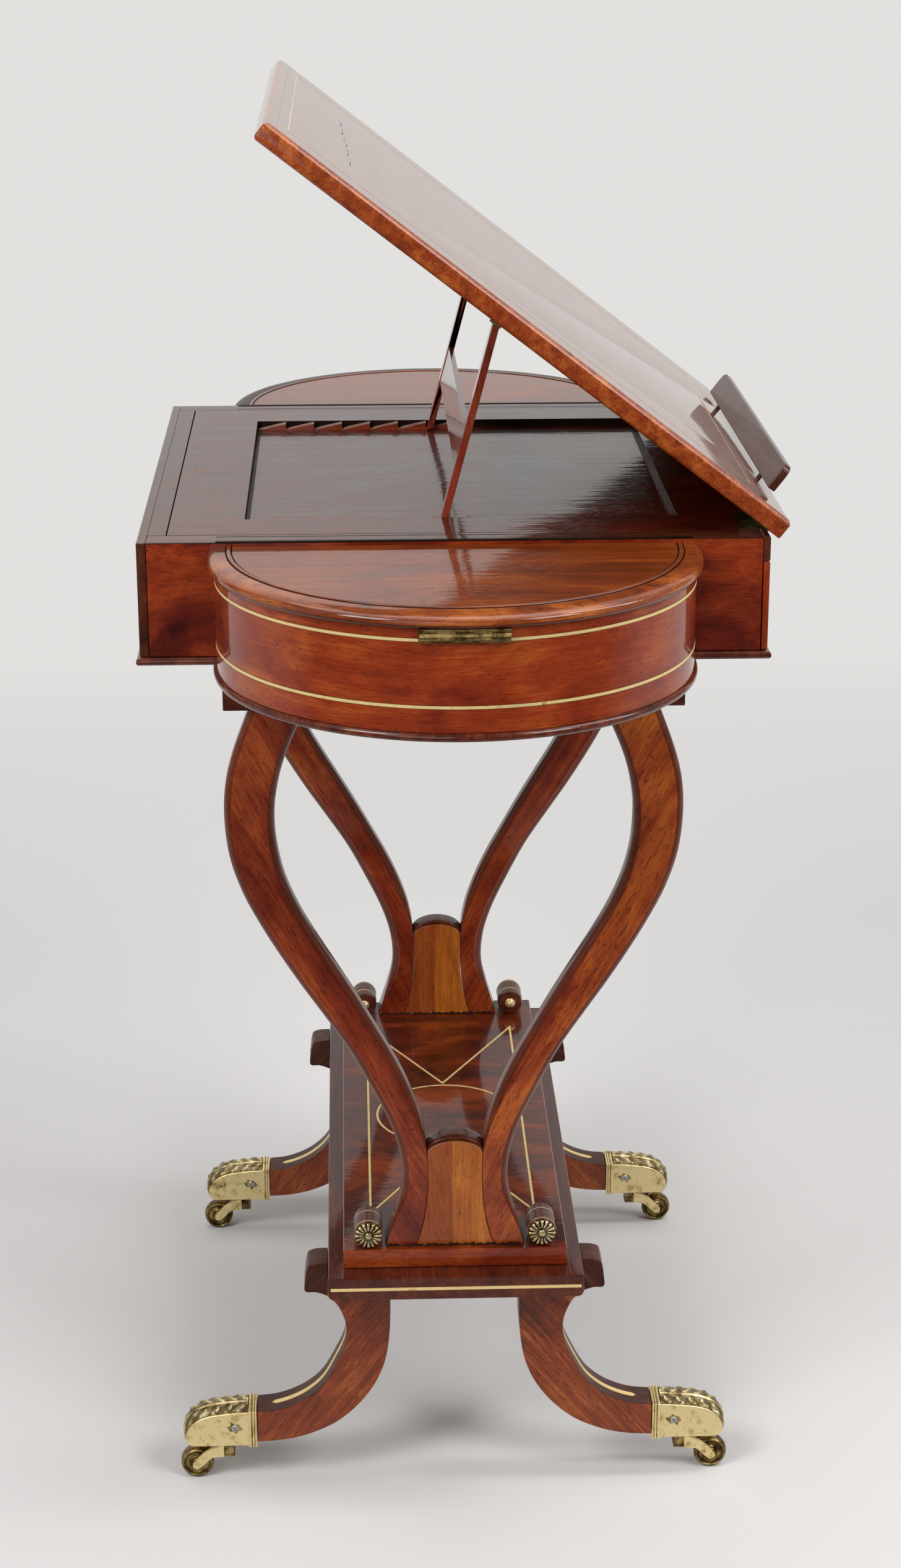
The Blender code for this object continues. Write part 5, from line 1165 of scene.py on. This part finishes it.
def glowing_paper():
    """Matt paper that glows where the lens or the polish sees it far off, and lights nothing by that."""
    paper, tree, shader = started("matt_studio_paper")
    plugged(tree, shader, {"Base Color": linear("d4d2d1"), "Roughness": 0.95, "Specular IOR Level": 0.1})
    where = node(tree, "SeparateXYZ", {"Vector": node(tree, "TexCoord", {}, "Object")}).node.outputs
    path = node(tree, "LightPath", {}).node.outputs
    # Towards the back the paper glows for the lens and for the polish that mirrors it
    seen = worked(tree, "MAXIMUM", path["Is Camera Ray"], path["Is Glossy Ray"])
    back = worked(tree, "MULTIPLY", seen, ranged(tree, where["Y"], 0.2, 2, 0, 1))
    # Far off to the sides and behind the lens it glows for the lens alone, so that no horizon shows
    beside = ranged(tree, worked(tree, "ABSOLUTE", where["X"]), 1.6, 3, 0, 1)
    far_off = worked(tree, "MAXIMUM", beside, ranged(tree, where["Y"], -3.6, -2.2, 1, 0))
    share = worked(tree, "MAXIMUM", back, worked(tree, "MULTIPLY", far_off, path["Is Camera Ray"]))
    glow = node(tree, "Emission", {"Color": linear("e2e1df")})
    pale = node(tree, "MixShader", {0: share, 1: shader.outputs[0], 2: glow})
    # Towards the lens the polish mirrors a dim room instead of pale paper
    front = worked(tree, "MULTIPLY", path["Is Glossy Ray"], ranged(tree, where["Y"], -1.1, -0.2, 1, 0))
    dim = node(tree, "Emission", {"Color": linear("4c4a49")})
    whole = node(tree, "MixShader", {0: front, 1: pale, 2: dim})
    tree.links.new(whole, tree.nodes["Material Output"].inputs["Surface"])
    return paper


def studio():
    """Sweep of paper, lamps and the photograph's camera."""
    section = [Vector((0, y, 0)) for y in (-9, -4, -1, 2, 5, 7.2)]
    section += [Vector((0, spot.x, spot.y)) for spot in arc(1.2, -math.pi / 2, 0, 12, (7.2, 1.2))]
    section += [Vector((0, 8.4, 14.8))]
    bm = drawn(lofted, [[spot + Vector((across, 0, 0)) for spot in section] for across in (-9, -3, 3, 9)],
               ring=False)
    bm.normal_update()
    if min(bm.faces, key=lambda face: face.calc_center_median().z).normal.z < 0:
        bmesh.ops.reverse_faces(bm, faces=bm.faces)
    mesh = bpy.data.meshes.new("sweep")
    bm.to_mesh(mesh)
    mesh.materials.append(glowing_paper())
    added("sweep", mesh)

    world = bpy.context.scene.world = bpy.data.worlds.new("studio")
    world.use_nodes = True
    tree = world.node_tree
    room = tree.nodes["Background"]
    plugged(tree, room, {"Color": linear("f6f4f2"), "Strength": 0.1})
    pale = node(tree, "Background", {"Color": linear("e2e1df"), "Strength": 1})
    to_lens = node(tree, "LightPath", {}, "Is Camera Ray")
    seen = node(tree, "MixShader", {0: to_lens, 1: room.outputs[0], 2: pale})
    tree.links.new(seen, tree.nodes["World Output"].inputs["Surface"])

    for name, place, aim, size, power in (
            ("left_softbox", (-1.5, -1.6, 2.3), (0, 0, 0.5), (0.9, 1.2), 46),
            ("right_softbox", (1.5, -1.6, 2.3), (0, 0, 0.5), (0.9, 1.2), 38),
            ("left_wall", (-3.2, -0.2, 1.2), (0, 0, 0.6), (3, 3), 12),
            ("right_wall", (3.2, -0.2, 1.2), (0, 0, 0.6), (3, 3), 10),
            ("front_fill", (-0.9, -3, 1.35), (0, 0, 0.75), (1.6, 1.6), 12),
            ("window_strip", (1.75, -0.2, 2.35), (0.1, 0, 0.8), (0.45, 1.7), 24),
            ("overhead", (0, 0.5, 3), (0, 0.5, 0), (2.8, 2), 44)):
        lamp = bpy.data.lights.new(name, "AREA")
        lamp.shape, lamp.energy = "RECTANGLE", power
        lamp.size, lamp.size_y = size
        holder = added(name, lamp)
        holder.location = place
        holder.rotation_euler = (Vector(aim) - Vector(place)).to_track_quat("-Z", "Y").to_euler()

    lens = bpy.data.cameras.new("studio_camera")
    lens.sensor_width, lens.lens = 36, 66.62
    camera = bpy.context.scene.camera = added("studio_camera", lens)
    camera.location = (-0.0692 + MID, -2.12684, 1.21264)
    camera.rotation_euler = (1.2405259, 0.0015892, -0.0354048)
    bpy.context.scene.view_settings.view_transform = "Standard"


for build in (case, joint_and_gap_shadow_lines, bottom_board, aprons, apron_lines, lids, sliding_top, slope, lyre_arms,
              lyre_stems, plinths, sabre_legs, bolsters, castors, fittings, studio):
    build()
bpy.context.view_layer.update()
